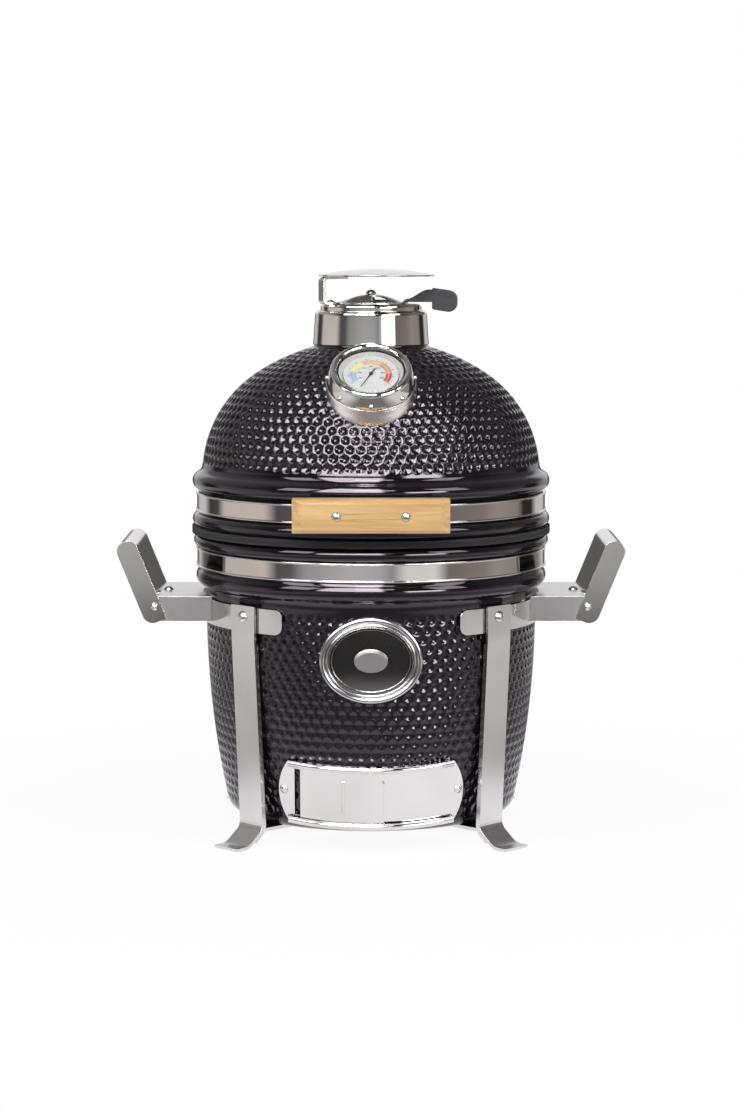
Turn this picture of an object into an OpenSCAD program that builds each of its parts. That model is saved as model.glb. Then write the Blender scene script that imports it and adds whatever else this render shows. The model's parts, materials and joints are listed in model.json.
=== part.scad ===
// Portable kamado grill: a glazed ceramic base and hinged lid on a steel stand,
// with a sliding draft door, a feed port, a top damper under a rain cap and a dial thermometer.
// Millimetres, +Z up, front towards -Y, origin on the floor under the centre of the body.

/* [Base] */
// Height of the base's underside above the floor
stand_clear = 16; // [13:0.5:24]
// Height of the ceramic base from its underside to its rim
base_h = 254; // [244:1:270]
// Outer radius at the waist
waist_r = 150; // [144:0.5:156]
// Depth of the waist below the rim
waist_drop = 70; // [64:1:76]
// Radius of the long arc that draws the belly in towards the foot
belly_arc = 820; // [700:10:1200]
// Rounding of the bottom edge
foot_round = 14; // [8:1:18]
// Thickness of the base's side wall
base_wall = 18; // [14:0.5:20]
// Thickness of the base's floor
base_floor = 20; // [14:1:24]
// How far the rim's bead stands out past the waist
rim_out = 11; // [9:0.5:14]
// Cross-section radius of the rim's bead
rim_bead = 6.5; // [6:0.25:6.75]
// How far the bead under the band stands out past the waist
neck_bead_out = 9; // [7:0.5:11]
// Cross-section radius of the bead under the band
neck_bead = 9; // [8:0.5:10]
// Depth of that bead's centre below the rim
neck_bead_drop = 39; // [38:0.5:40]
// Radius of the hollow curve between waist and bead
neck_blend = 12; // [9:0.5:14]
// How far the mouth's inner wall stands in from the waist
mouth_in = 12; // [9:0.5:14]
// Depth of the step inside the mouth below the rim
mouth_step = 49; // [44:1:54]

/* [Lid] */
// Thickness of the lid's wall
lid_wall = 16; // [13:0.5:17]
// How far the upright part of the dome stands out past the waist
dome_out = 3.3; // [2:0.1:5]
// Distance of the shoulder arc's centre from the body's axis
shoulder_in = 43.3; // [40:0.1:48]
// Height of the shoulder arc's centre above the lid's underside
shoulder_rise = 46; // [44:0.5:50]
// How much larger the radius of the dome's flatter crown is than its shoulder's
crown_more = 80; // [74:1:90]
// How far the bead along the lid's lower edge stands out past the waist
lid_rim_out = 12; // [10:0.5:14]
// Cross-section radius of the lower bead
lid_bead = 6.5; // [6:0.25:6.75]
// How far the bead above the lid's band stands out past the waist
dome_bead_out = 12; // [10:0.5:14]
// Cross-section radius of the bead above the band
dome_bead = 8; // [7:0.5:8.5]
// Height of that bead's centre above the lid's underside
dome_bead_rise = 41; // [40:0.5:42]
// Radius of the hollow curve between bead and dome
dome_blend = 8; // [6:0.5:12]
// Radius of the smoke hole
chimney_r = 40; // [36:0.5:44]
// Height of the ledge that carries the chimney collar
plinth_h = 2; // [1:0.25:3]
// Height of the neck around the smoke hole
neck_h = 18; // [12:1:24]

/* [Bands and gaskets] */
// How far the ceramic under the bands stands out past the waist
groove_out = 6; // [5:0.25:7]
// Height of each band
band_h = 17; // [14:0.5:18]
// Thickness of each band
band_t = 1.8; // [1.2:0.1:2.2]
// Radius of the rolled bead along each edge of a band
band_bead = 0.9; // [0.6:0.1:1.2]
// Depth of the base band's centre below the rim
band_drop = 21.5; // [21:0.25:22]
// Height of the lid band's centre above the lid's underside
band_rise = 22.5; // [22:0.25:23]
// Gap between the two ends of a band
band_split = 6; // [4:0.5:9]
// Length of the ears that the clamp bolt draws together
clamp_ear = 15; // [13:0.5:18]
// Height of those ears
clamp_ear_h = 10; // [8:0.5:11]
// Thickness of each felt gasket
gasket_t = 2.85; // [2:0.05:3.5]
// How far the gaskets stand proud of the rim
gasket_proud = 1.5; // [0.5:0.25:2]

/* [Lid hinge] */
// Radius of the hinge ears around the pin
ear_r = 10; // [8:0.5:11]
// Thickness of the hinge plates
hinge_t = 4; // [3:0.5:5]
// Outer half width across the lower ears
hinge_half = 32; // [28:1:40]
// Radius of the hinge pin
pin_r = 3; // [2.5:0.25:4]

/* [Lid handle] */
// Width of the wooden handle
wood_w = 134; // [120:1:150]
// Height of the wooden handle
wood_h = 29; // [24:1:31]
// Thickness of the wooden handle
wood_t = 20; // [16:1:22]
// Gap for fingers between the lid's upper bead and the handle
finger_gap = 8; // [6:0.5:14]
// Bevel at the ends of the handle
wood_end_bevel = 8; // [4:0.5:10]
// Bevel along the long edges of the handle
wood_edge_bevel = 3.5; // [2:0.5:5]
// Height of the handle's middle above the middle of the band
wood_lift = 2; // [0:0.5:3]
// Distance between the handle's screws
wood_screw_gap = 59; // [50:1:70]
// Radius of the bosses between band and handle
boss_r = 6; // [5:0.5:7.5]

/* [Chimney and damper] */
// Outer radius of the chimney collar
collar_r = 52.3; // [51:0.1:54]
// How much narrower the collar gets towards its shoulder
collar_lean = 1.7; // [1:0.1:2.5]
// Height of the collar up to its shoulder
collar_h = 30; // [26:1:36]
// Rounding of the collar's shoulder
collar_round = 4; // [3:0.5:5]
// Height of the raised ring on the shoulder
ring_h = 5.5; // [4.5:0.5:7]
// How far the raised ring stands in from the collar's side
ring_inset = 5; // [4.5:0.25:5.5]
// Thickness of the collar's sheet
collar_t = 1.8; // [1.2:0.1:2.4]
// Radius of the hole in the collar's top
collar_mouth_r = 32; // [30:0.5:32.5]
// Thickness of the slotted vent plate
vent_plate_t = 2; // [1.5:0.25:3]
// Radius of the damper's flange
damper_flange_r = 33.5; // [33:0.25:34]
// Radius of the damper's dome
damper_dome_r = 28; // [26:0.5:29]
// Height of the damper's dome above its flange
damper_rise = 7; // [6:0.5:9]
// Thickness of the damper's sheet
damper_t = 1.6; // [1.2:0.1:2]
// Number of windows in the vent plate and in the damper
window_count = 3; // [2:1:4]
// Width of each window
window_angle = 50; // [36:1:56]
// Radius of the damper's bolt
damper_bolt_r = 3; // [2.5:0.25:4]
// Radius at which the lever's paddle starts
paddle_start = 55; // [54:0.5:60]
// Length of the lever's paddle
paddle_l = 23; // [20:1:28]
// Height of the lever's paddle
paddle_h = 19.5; // [17:0.5:21]
// Thickness of the lever's paddle
paddle_t = 9; // [7:0.5:11]
// Height of the paddle's middle above the collar's top
paddle_rise = 5; // [4:0.5:7]
// Downward tilt of the paddle
paddle_tilt = 8; // [0:1:12]

/* [Rain cap] */
// Radius of the rain cap
cap_r = 52; // [48:1:58]
// Height of the rain cap's crown
cap_crown = 5.5; // [3:0.5:8]
// Thickness of the cap's sheet
cap_t = 1.2; // [1:0.1:1.6]
// Height of the cap's rim above the collar's top
cap_rise = 25; // [23:0.5:32]
// Offset of the cap's centre to the right of the body's axis
cap_shift = 5; // [0:0.5:8]
// Width of the cap's strap
strap_w = 11; // [9:0.5:11]
// Thickness of the cap's strap
strap_t = 2; // [1.5:0.25:2.5]
// Distance of the strap's pivot from the body's axis
strap_pivot = 39.75; // [39.5:0.25:40.25]
// Turn of the strap from the left side towards the front
strap_turn = 24; // [10:1:40]

/* [Thermometer] */
// Elevation of the thermometer's axis
gauge_elev = 51.5; // [46:0.5:55]
// Outer radius of the bell-shaped bezel
bezel_r = 39.5; // [38:0.5:41]
// Height of the bezel above the dome
bezel_h = 18.5; // [17:0.5:22]
// Outer radius of the bezel's rounded rim
bezel_rim_r = 35.5; // [34:0.5:36]
// Radius of the bezel's opening at the glass
glass_r = 29.5; // [28:0.25:30]
// Radius of the dial
dial_r = 24; // [22:0.25:25]
// Depth of the dial below the bezel's rim
dial_sink = 8; // [7.5:0.25:10]
// Number of raised bumps round the bezel
bump_count = 8; // [6:1:12]
// Radius of the bezel's bumps
bump_r = 2; // [1.5:0.1:2.4]
// Length of the needle from its hub to its tip
needle_l = 19; // [15:0.5:23]
// Direction of the needle at rest, clockwise from the top
needle_angle = 207; // [180:1:240]
// Length of the probe below the dome's surface
probe_l = 62; // [40:1:70]
// Radius of the probe
probe_r = 3; // [2.5:0.25:3.5]

/* [Draft vent] */
// Height of the vent's centre above the base's underside
draft_rise = 33; // [31:0.5:38]
// Width of the vent's frame
draft_w = 162; // [150:1:164]
// Height of the vent's frame
draft_h = 58; // [54:0.5:60]
// How far the frame's round ends swell past its rails
draft_end = 9; // [7:0.5:11]
// Thickness of the vent's sheet
draft_t = 1.2; // [1:0.1:1.6]
// Height of the rails' front lips
rail_lip = 6; // [5:0.5:8]
// Height of the rails' closed edge
rail_edge = 2; // [1.5:0.25:2.5]
// Distance of the window's left edge from the middle
window_left = 67; // [62:0.5:68]
// Distance of the window's right edge from the middle
window_right = 0; // [-4:0.5:2]
// Height of the frame's window
window_h = 43; // [36:0.5:44]
// How far the door stands open at rest
door_open = 5.5; // [2:0.5:8]
// Width of the sliding door
door_w = 73; // [70:0.5:76]
// Width of the draft hole through the ceramic
hole_w = 124; // [90:1:126]
// Height of the draft hole through the ceramic
hole_h = 34; // [26:1:38]

/* [Feed port] */
// Depth of the port's centre below the body's widest point
port_drop = 28; // [24:1:34]
// Width of the port's oval frame
port_w = 89.5; // [84:0.5:94]
// Height of the port's oval frame
port_h = 75; // [72:0.5:77]
// Width of the frame's ring
port_ring = 8; // [7:0.25:9]
// How far the frame stands proud of the body
port_proud = 2.5; // [2:0.25:4]
// Thickness of the port's sheet
port_t = 1; // [0.8:0.1:1.4]
// Length of the sleeve through the wall
sleeve_l = 26; // [20:1:30]
// Width of the cover's oval knob
knob_w = 29; // [24:0.5:34]
// Height of the cover's oval knob
knob_h = 19; // [15:0.5:22]
// How far the knob stands out of the cover
knob_out = 7; // [5:0.5:10]

/* [Stand] */
// Height of the hoop's strip
hoop_h = 22; // [20:0.5:24]
// Depth of the hoop's lower edge below the body's widest point
hoop_drop = 9; // [8:0.5:14]
// Thickness of the hoop's strip
hoop_t = 2; // [1.5:0.25:3]
// Half the opening between the hoop's front ends
hoop_gap = 77.5; // [72:0.5:82]
// Rounding of the hoop's ends
hoop_round = 7; // [4:0.5:9]
// Turn of the front legs from the middle of the front
leg_turn = 46.5; // [44:0.5:48]
// Width of each leg
leg_w = 30; // [26:0.5:32]
// Thickness of each leg's sheet
leg_t = 2.5; // [2:0.25:3]
// Depth of the folded edges along each leg
leg_fold = 4.5; // [3.5:0.25:4.75]
// How far each leg leans in between hoop and foot
leg_lean = 9; // [6:0.5:11]
// Height of the bend above each foot
foot_bend = 16; // [13:0.5:20]
// Length of the sloping part of each foot
foot_slope = 17; // [12:0.5:20]
// Length of the flat tip of each foot
foot_tip = 13; // [8:0.5:16]
// Width of the cross bars under the base
cross_w = 24; // [18:0.5:24]
// Thickness of the cross bars
cross_t = 3; // [2:0.25:4]
// Height of the cross bars' upturned ends
cross_tab = 24; // [16:1:30]

/* [Side handles] */
// Distance of the arm's rivets from the body's axis
rivet_x = 193.5; // [190:0.5:198]
// Half width of each arm along the body's side
arm_half = 55; // [48:0.5:60]
// Height of each arm
arm_h = 22; // [20:0.5:24]
// Height of each arm's lower edge above the hoop's
arm_lift = 3; // [1:0.5:5]
// Thickness of the handle's sheet
arm_t = 1.8; // [1.2:0.1:2.2]
// Length of each grip along its slant
grip_l = 78; // [70:1:86]
// Thickness of each grip
grip_t = 19; // [16:0.5:22]
// Slant of each grip away from the body
grip_slant = 22; // [16:0.5:26]
// Radius of the bolt that holds each grip down on its arm
grip_bolt_r = 2.5; // [2:0.25:3]
// Radius of the rivets through the grips and arms
rivet_r = 2; // [1.5:0.25:2.5]

/* [Inner parts] */
// Gap between the fire box and the base
fire_gap = 4; // [3:0.5:6]
// Thickness of the fire box's wall
fire_wall = 12; // [9:0.5:13]
// Depth of the fire box's rim below the base's rim
fire_drop = 14; // [12:0.5:18]
// Share of the wall between the grate and the port that the fire box takes from its ring
split_share = 0.6; // [0.4:0.05:0.7]
// Height of the ash space under the fire box's floor
ash_h = 44; // [40:1:50]
// Radius of the ash space
ash_r = 92; // [86:1:94]
// Radius of the charcoal grate
grate_r = 63; // [56:1:70]
// Thickness of the charcoal grate
grate_t = 6; // [5:0.5:8]
// Radius of the holes in the charcoal grate
grate_hole_r = 5; // [4:0.25:6]
// Radius of the cooking grid's ring
grid_r = 126; // [125.5:0.5:128]
// Radius of the ring's wire
ring_wire = 3; // [2.5:0.25:3.5]
// Radius of the grid's bars
bar_wire = 2; // [1.5:0.25:2.5]
// Distance between the grid's bars
bar_pitch = 14; // [12:0.5:18]

/* [Fits] */
// Gap between pieces that move past each other
slide_gap = 0.3; // [0.2:0.05:0.5]
// Gap between pieces that are fixed together on curved faces
seat_gap = 0.15; // [0.1:0.05:0.25]
// Radial clearance of a pin in its hole
run_gap = 0.05; // [0.03:0.01:0.08]
// Radius of the small screws
screw_r = 2.2; // [1.8:0.1:2.5]
// Radius of the stand's bolts and rivets
bolt_r = 3; // [2.5:0.25:3.5]

/* [Hidden] */
$fn = 96;
over = 1;
glaze = "#1b1b20";
steel = "#b9b7b4";
bright = "#cfcdca";
felt = "#26262a";
clay = "#b5a48c";
iron = "#2f2f31";
wood = "#ddb06a";
black = "#2c2c30";

// Radii
rim_r = waist_r + rim_out;
neck_bead_r = waist_r + neck_bead_out;
mouth_r = waist_r - mouth_in;
groove_r = waist_r + groove_out;
dome_r = waist_r + dome_out;
shoulder_r = dome_r - shoulder_in;
crown_r = shoulder_r + crown_more;
lid_rim_r = waist_r + lid_rim_out;
dome_bead_r = waist_r + dome_bead_out;

// Levels
rim_z = stand_clear + base_h;
lid_z = rim_z + 2*gasket_t + slide_gap;
waist_z = rim_z - waist_drop;
floor_z = stand_clear + base_floor;
mouth_z = rim_z - mouth_step;
hoop_z = waist_z - hoop_drop;
band_z = rim_z - band_drop;
lid_band_z = lid_z + band_rise;
wood_z = lid_band_z + wood_lift;
band_outer = groove_r + seat_gap + band_t;
reach_y = dome_bead_r + finger_gap + wood_t;
gasket_r = rim_r + gasket_proud;

// Base profile
belly_c = [waist_r - belly_arc, waist_z];
belly_in = belly_arc - base_wall;
floor_round = 12;
mouth_slope = 6;
neck_bead_c = [neck_bead_r - neck_bead, rim_z - neck_bead_drop];
neck_blend_c = [waist_r + neck_blend, neck_bead_c[1]
    - sqrt(pow(neck_bead + neck_blend, 2) - pow(waist_r + neck_blend - neck_bead_c[0], 2))];
neck_a = atan2(neck_blend_c[1] - neck_bead_c[1], neck_blend_c[0] - neck_bead_c[0]);
rim_bead_c = [rim_r - rim_bead, rim_z - rim_bead];

// Lid profile
lid_bead_c = [lid_rim_r - lid_bead, lid_z + lid_bead];
dome_bead_c = [dome_bead_r - dome_bead, lid_z + dome_bead_rise];
shoulder_c = [dome_r - shoulder_r, lid_z + shoulder_rise];
crown_c = [0, shoulder_c[1] - sqrt(pow(crown_r - shoulder_r, 2) - pow(shoulder_c[0], 2))];
crown_a = atan2(shoulder_c[1] - crown_c[1], shoulder_c[0]);
dome_blend_c = upper_meet(shoulder_c, shoulder_r + dome_blend, dome_bead_c, dome_bead + dome_blend);
dome_bead_a = angle_to(dome_bead_c, dome_blend_c);
shoulder_a = angle_to(shoulder_c, dome_blend_c);
lid_inner_r = dome_r - lid_wall;
neck_r = collar_r - collar_lean - collar_t - slide_gap;
plinth_r = collar_r - 0.6;
plinth_z = crown_z(plinth_r) + plinth_h;
collar_z = plinth_z + seat_gap;
neck_top = collar_z + neck_h;

// Chimney
collar_top = collar_z + collar_h + ring_h;
vent_plate_z = collar_top - collar_t - vent_plate_t;
ring_r = collar_r - collar_lean - ring_inset;
ring_round = 2.5;
vent_plate_r = ring_r - ring_round - seat_gap;
damper_z = collar_top + slide_gap;
damper_top = damper_z + damper_t + damper_rise;
dome_sphere = (damper_dome_r*damper_dome_r + damper_rise*damper_rise)/(2*damper_rise);
window_inner = 10;
window_outer = damper_dome_r - 4;
bolt_head_h = 4;
nut_h = 4;
lever_w = 9;
lever_rib = 1.2;
paddle_z = collar_top + paddle_rise;

// Rain cap
cap_z = collar_top + cap_rise;
cap_sphere = (pow(cap_r + 1, 2) + cap_crown*cap_crown)/(2*cap_crown);
strap_z = collar_top + seat_gap;
strap_leg = 22;
strap_bend = 3;
cap_pivot = [-strap_pivot*cos(strap_turn), -strap_pivot*sin(strap_turn)];
cap_rivet_r = 2;
cap_rivet_head = 4;
strap_foot = cap_rivet_head + strap_bend + 0.4;

// Thermometer, measured along its axis from the dome's surface
dial_z = bezel_h - dial_sink;
dial_t = 0.8;
glass_t = 1.5;
glass_z = bezel_h - 5;
rim_round = (bezel_rim_r - glass_r)/2;
needle_z = dial_z + dial_t + 0.7;
needle_t = 0.6;
needle_hub = 2.6;
needle_tail = 9;
spindle_r = 1;
bump_z = 8;
bezel_foot = 3;
bezel_lip = 0.8;
glass_lap = 0.8;
probe_nut_r = 9;
probe_nut_h = 6;

// Draft vent, on a cylinder that leans with the belly
vent_z = stand_clear + draft_rise;
vent_front = belly_x(vent_z);
vent_tilt = asin((waist_z - vent_z)/belly_arc);
vent_r = vent_front/cos(vent_tilt);
channel = draft_t + 2*slide_gap;
rail_d = 2*draft_t + channel;
rail_half = draft_w/2 - draft_end + 1;
door_r = vent_r + draft_t + slide_gap;
door_left = turn_at(-window_left + door_open, door_r);
door_right = turn_at(-window_left + door_open + door_w, door_r);
door_h = draft_h - 2*rail_edge - 2*slide_gap;
pull_h = 30;
pull_out = 4;
rib_r = 1.6;
rib_x = -24;
draft_screw_x = draft_w/2 - 5;
screw_head_r = 4;
screw_head_h = 2.2;
screw_l = 14;

// Feed port
port_z = waist_z - port_drop;
port_front = belly_x(port_z) + port_proud;
port_hole = port_ring + 1;
port_skirt = 18;
cover_back = port_front - 1 + seat_gap;
cover_t = 2;
cover_dish = 0.8;
cover_lip = 2.5;
cover_plug = 14;

// Stand
hoop_inner = waist_r + 0.5;
hoop_outer = hoop_inner + hoop_t;
leg_face = hoop_outer + leg_t + seat_gap;
leg_top = hoop_z + hoop_h + 1.5;
leg_turns = [leg_turn, -leg_turn, 180 - leg_turn, leg_turn - 180];
leg_bolt_z = hoop_z + hoop_h*0.62;
foot_x = leg_face - leg_lean;
leg_path = [[leg_face, leg_top], [leg_face, hoop_z - 4], [foot_x, foot_bend],
    [foot_x + foot_slope, leg_t], [foot_x + foot_slope + foot_tip, leg_t]];
fold_path = [leg_at(hoop_z - 10), [foot_x, foot_bend],
    [foot_x + foot_slope*0.6, leg_t + (foot_bend - leg_t)*0.4]];
bend_reach = 5;

// Side handles
arm_z = hoop_z + arm_lift;
grip_half = arm_half + seat_gap + arm_t;
grip_foot = [rivet_x - 2, arm_z - 1];
grip_turn_r = grip_t/2;
rivet_z = arm_z + arm_h*0.6;
grip_bolt_x = rivet_x - 9;
lip_w = 10;

// Fire box
fire_out = belly_in - fire_gap;
fire_in = fire_out - fire_wall;
fire_top = rim_z - fire_drop;
fire_floor = floor_z + ash_h;
grate_seat = 4;
grate_z = fire_floor + 8;
bowl_z = grate_z + grate_t + 12;
fire_split = bowl_z + (port_z - port_h/2 + port_ring - bowl_z)*split_share;
fire_foot_r = foot_inner_c()[0] - 3;
grid_z = fire_top + ring_wire + seat_gap;

// Hinge
hinge_back = reach_y + seat_gap + screw_head_h;
hinge_y = hinge_back - ear_r;
hinge_z = rim_z + gasket_t + slide_gap/2;
upper_half = hinge_half - hinge_t - 2*slide_gap;
hinge_pad = 3;
pin_head_r = 5.5;
pin_head_h = 2.5;
clamp_t = 2.5;
clamp_r = 2.5;

// Points of an arc from one angle to another, without its first point when joined is 1
function arc(c, r, a0, a1, steps, joined = 0) =
    [for (i = [joined:steps]) let (a = a0 + (a1 - a0)*i/steps) [c[0] + r*cos(a), c[1] + r*sin(a)]];
function angle_to(a, b) = atan2(b[1] - a[1], b[0] - a[0]);
function unit(v) = v/norm(v);
function right_of(v) = [v[1], -v[0]];

// Upper crossing of two circles
function upper_meet(c1, r1, c2, r2) =
    let (d = norm(c2 - c1), u = (c2 - c1)/d, a = (r1*r1 - r2*r2 + d*d)/(2*d))
    c1 + u*a - right_of(u)*sqrt(r1*r1 - a*a);

// A bent strip: corners of the path eased over a reach, then thickened to the right of the path
function eased(path, reach, steps = 4) = concat([path[0]],
    [for (i = [1:len(path) - 2]) for (j = [0:steps])
        let (s = j/steps,
            a = path[i] + unit(path[i - 1] - path[i])*reach,
            b = path[i] + unit(path[i + 1] - path[i])*reach)
        a*pow(1 - s, 2) + path[i]*2*s*(1 - s) + b*s*s],
    [path[len(path) - 1]]);
function heading(path, i) = unit(path[min(i + 1, len(path) - 1)] - path[min(i, len(path) - 2)]);
function shifted(path, t) = [for (i = [0:len(path) - 1])
    let (n0 = right_of(heading(path, max(i - 1, 0))), n1 = right_of(heading(path, i)), n = unit(n0 + n1))
    path[i] + n*t/(n*n1)];
function reversed(list) = [for (i = [len(list) - 1:-1:0]) list[i]];
function strip(path, t) = concat(path, reversed(shifted(path, t)));
function oval(w, h) = [for (a = [0:8:352]) [w/2*cos(a), h/2*sin(a)]];

// Radius of the belly, and height of the crown, at a given place
function belly_x(z) = belly_c[0] + sqrt(belly_arc*belly_arc - pow(z - waist_z, 2));
function crown_z(r) = crown_c[1] + sqrt(crown_r*crown_r - r*r);
function turn_at(x, r) = asin(x/r);
function bezel_side(s) = bezel_r - bezel_lip - (bezel_r - bezel_lip - bezel_rim_r)*pow(s, 1.7);
function leg_at(z) = let (s = (hoop_z - 4 - z)/(hoop_z - 4 - foot_bend)) [leg_face - leg_lean*s, z];

function cross_end(z) = [leg_at(z)[0] - leg_t - 2*seat_gap, z];
function foot_outer_c() = [belly_c[0] + sqrt(pow(belly_arc - foot_round, 2)
    - pow(waist_z - stand_clear - foot_round, 2)), stand_clear + foot_round];
function foot_inner_c() = [belly_c[0] + sqrt(pow(belly_in - floor_round, 2)
    - pow(waist_z - floor_z - floor_round, 2)), floor_z + floor_round];

function base_outer() =
    let (foot_c = foot_outer_c(), foot_a = angle_to(belly_c, foot_c))
    concat(arc(foot_c, foot_round, -90, foot_a, 8),
        arc(belly_c, belly_arc, foot_a, 0, 12, 1),
        arc(neck_blend_c, neck_blend, 180, 180 + neck_a, 6),
        arc(neck_bead_c, neck_bead, neck_a, acos((groove_r - neck_bead_c[0])/neck_bead), 8, 1),
        arc(rim_bead_c, rim_bead, -acos((groove_r - rim_bead_c[0])/rim_bead), 90, 8));

function base_inner() =
    let (inner_c = foot_inner_c(), inner_a = angle_to(belly_c, inner_c))
    concat([[mouth_r, rim_z], [mouth_r, mouth_z], [waist_r - base_wall, mouth_z - mouth_slope]],
        arc(belly_c, belly_in, 0, inner_a, 12),
        arc(inner_c, floor_round, inner_a, -90, 6, 1),
        [[0, floor_z]]);

function lid_outer() = concat(
    arc(lid_bead_c, lid_bead, -90, acos((groove_r - lid_bead_c[0])/lid_bead), 8),
    arc(dome_bead_c, dome_bead, -acos((groove_r - dome_bead_c[0])/dome_bead), dome_bead_a, 8),
    arc(dome_blend_c, dome_blend, 180 + dome_bead_a, 180 + shoulder_a, 6, 1),
    arc(shoulder_c, shoulder_r, shoulder_a, crown_a, 18, 1),
    arc(crown_c, crown_r, crown_a, acos(plinth_r/crown_r), 8, 1),
    [[plinth_r, plinth_z], [neck_r, plinth_z]]);

function lid_inner() = concat(
    [[neck_r, neck_top], [chimney_r, neck_top]],
    arc(crown_c, crown_r - lid_wall, acos(chimney_r/(crown_r - lid_wall)), crown_a, 8),
    arc(shoulder_c, shoulder_r - lid_wall, crown_a, 0, 14, 1),
    [[lid_inner_r, lid_z]]);

// Solid bodies inside the outer faces, grown outwards by a gap
module base_mass(gap) {
    rotate_extrude()
        polygon(concat([[0, stand_clear]], [for (p = base_outer()) [p[0] + gap, p[1]]], [[0, rim_z]]));
}
module dome_mass(gap) {
    outer = lid_outer();
    last = outer[len(outer) - 1];
    rotate_extrude()
        polygon(concat([[0, lid_z]], [for (p = outer) p + unit(p - [0, lid_z])*gap], [[0, last[1]]]));
}

// Places
module at_vent() {
    translate([0, -vent_front, vent_z])
        rotate([vent_tilt, 0, 0])
            children();
}
module at_gauge() {
    translate([0, -shoulder_c[0], shoulder_c[1]])
        rotate([90 - gauge_elev, 0, 0])
            translate([0, 0, shoulder_r])
                children();
}
module radial_slab(turn, w) {
    rotate([0, 0, turn - 90])
        translate([0, w/2, 0])
            rotate([90, 0, 0])
                linear_extrude(w)
                    children();
}
module radial_rod(turn, r, from, to, z) {
    rotate([0, 0, turn - 90])
        translate([from, 0, z])
            rotate([0, 90, 0])
                cylinder(r = r, h = to - from);
}
module front_prism(from, to) {
    translate([0, -from, 0])
        rotate([90, 0, 0])
            linear_extrude(to - from)
                children();
}
module side_prism(from, to) {
    translate([from, 0, 0])
        rotate([90, 0, 90])
            linear_extrude(to - from)
                children();
}
module both_sides() {
    children();
    mirror([1, 0, 0])
        children();
}
module round_rect(w, h, r) {
    square([w - 2*r, h], center = true);
    square([w, h - 2*r], center = true);
    for (x = [-1, 1], y = [-1, 1])
        translate([x*(w/2 - r), y*(h/2 - r)])
            circle(r);
}
// Low domed head of a screw, bolt or rivet
module dome_head(r, h) {
    sphere_r = (r*r + h*h)/(2*h);
    intersection() {
        cylinder(r = r, h = h);
        translate([0, 0, h - sphere_r])
            sphere(sphere_r);
    }
}

// Ceramic base and what it holds
module base_shell() {
    color(glaze)
        difference() {
            rotate_extrude()
                polygon(concat([[0, stand_clear]], base_outer(), base_inner()));
            at_vent() {
                translate([-hole_w/2, -over, -hole_h/2])
                    cube([hole_w, base_wall*2.5, hole_h]);
                vent_seat();
                draft_screw_rods(screw_r + run_gap, vent_r - screw_l - over, vent_r + over);
            }
            port_prism(port_front - sleeve_l - base_wall, port_front, port_hole - seat_gap);
        }
}
module base_band() {
    color(bright)
        clamp_band(band_z);
}
module base_band_bolt() {
    color(steel)
        clamp_bolt(band_z);
}
module base_gasket() {
    color(felt)
        gasket(rim_z);
}
module gasket(z) {
    translate([0, 0, z])
        difference() {
            cylinder(r = gasket_r, h = gasket_t);
            translate([0, 0, -over])
                cylinder(r = mouth_r + 3, h = gasket_t + 2*over);
        }
}
// Split steel band with rolled edges, drawn together by a bolt through two ears at the back
module clamp_band(z) {
    difference() {
        translate([0, 0, z])
            rotate_extrude()
                translate([groove_r + seat_gap, 0]) {
                    translate([0, -band_h/2])
                        square([band_t, band_h]);
                    for (side = [-1, 1])
                        translate([band_t, side*(band_h/2 - band_bead)])
                            circle(band_bead);
                }
        translate([-band_split/2, 0, z - band_h])
            cube([band_split, band_outer + over*5, band_h*2]);
    }
    both_sides()
        difference() {
            translate([band_split/2, groove_r + seat_gap + band_t/2, z - clamp_ear_h/2])
                cube([clamp_t, clamp_ear, clamp_ear_h]);
            clamp_rod(clamp_r + run_gap, z);
        }
}
module clamp_rod(r, z) {
    translate([-band_split/2 - clamp_t*2, band_outer + clamp_ear*0.55, z])
        rotate([0, 90, 0])
            cylinder(r = r, h = band_split + clamp_t*4);
}
module clamp_bolt(z) {
    stack = band_split/2 + clamp_t;
    translate([0, band_outer + clamp_ear*0.55, z])
        rotate([0, 90, 0]) {
            translate([0, 0, -stack - nut_h])
                cylinder(r = clamp_r, h = 2*stack + 2*nut_h + 3);
            translate([0, 0, -stack - nut_h])
                cylinder(r = clamp_r*1.9, h = nut_h, $fn = 6);
            translate([0, 0, stack])
                cylinder(r = clamp_r*1.9, h = nut_h, $fn = 6);
        }
}
module fire_box() {
    outer_a = asin((floor_z + floor_round - waist_z)/fire_out);
    inner_a = asin((bowl_z - waist_z)/fire_in);
    color(clay)
        difference() {
            rotate_extrude()
                polygon(concat(
                    [[ash_r, floor_z], [fire_foot_r, floor_z]],
                    arc(belly_c, fire_out, outer_a, asin((fire_split - waist_z)/fire_out), 6),
                    arc(belly_c, fire_in, asin((fire_split - waist_z)/fire_in), inner_a, 4),
                    [[grate_r + fire_wall, grate_z + grate_t], [grate_r + 1, grate_z + grate_t],
                        [grate_r + 1, grate_z], [grate_r - grate_seat, grate_z],
                        [grate_r - grate_seat, fire_floor], [ash_r, fire_floor]]));
            translate([-hole_w/2, -fire_out - belly_c[0] - over, floor_z - over])
                cube([hole_w, fire_out + belly_c[0] - ash_r*0.6, ash_h*0.8 + over]);
        }
}
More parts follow.
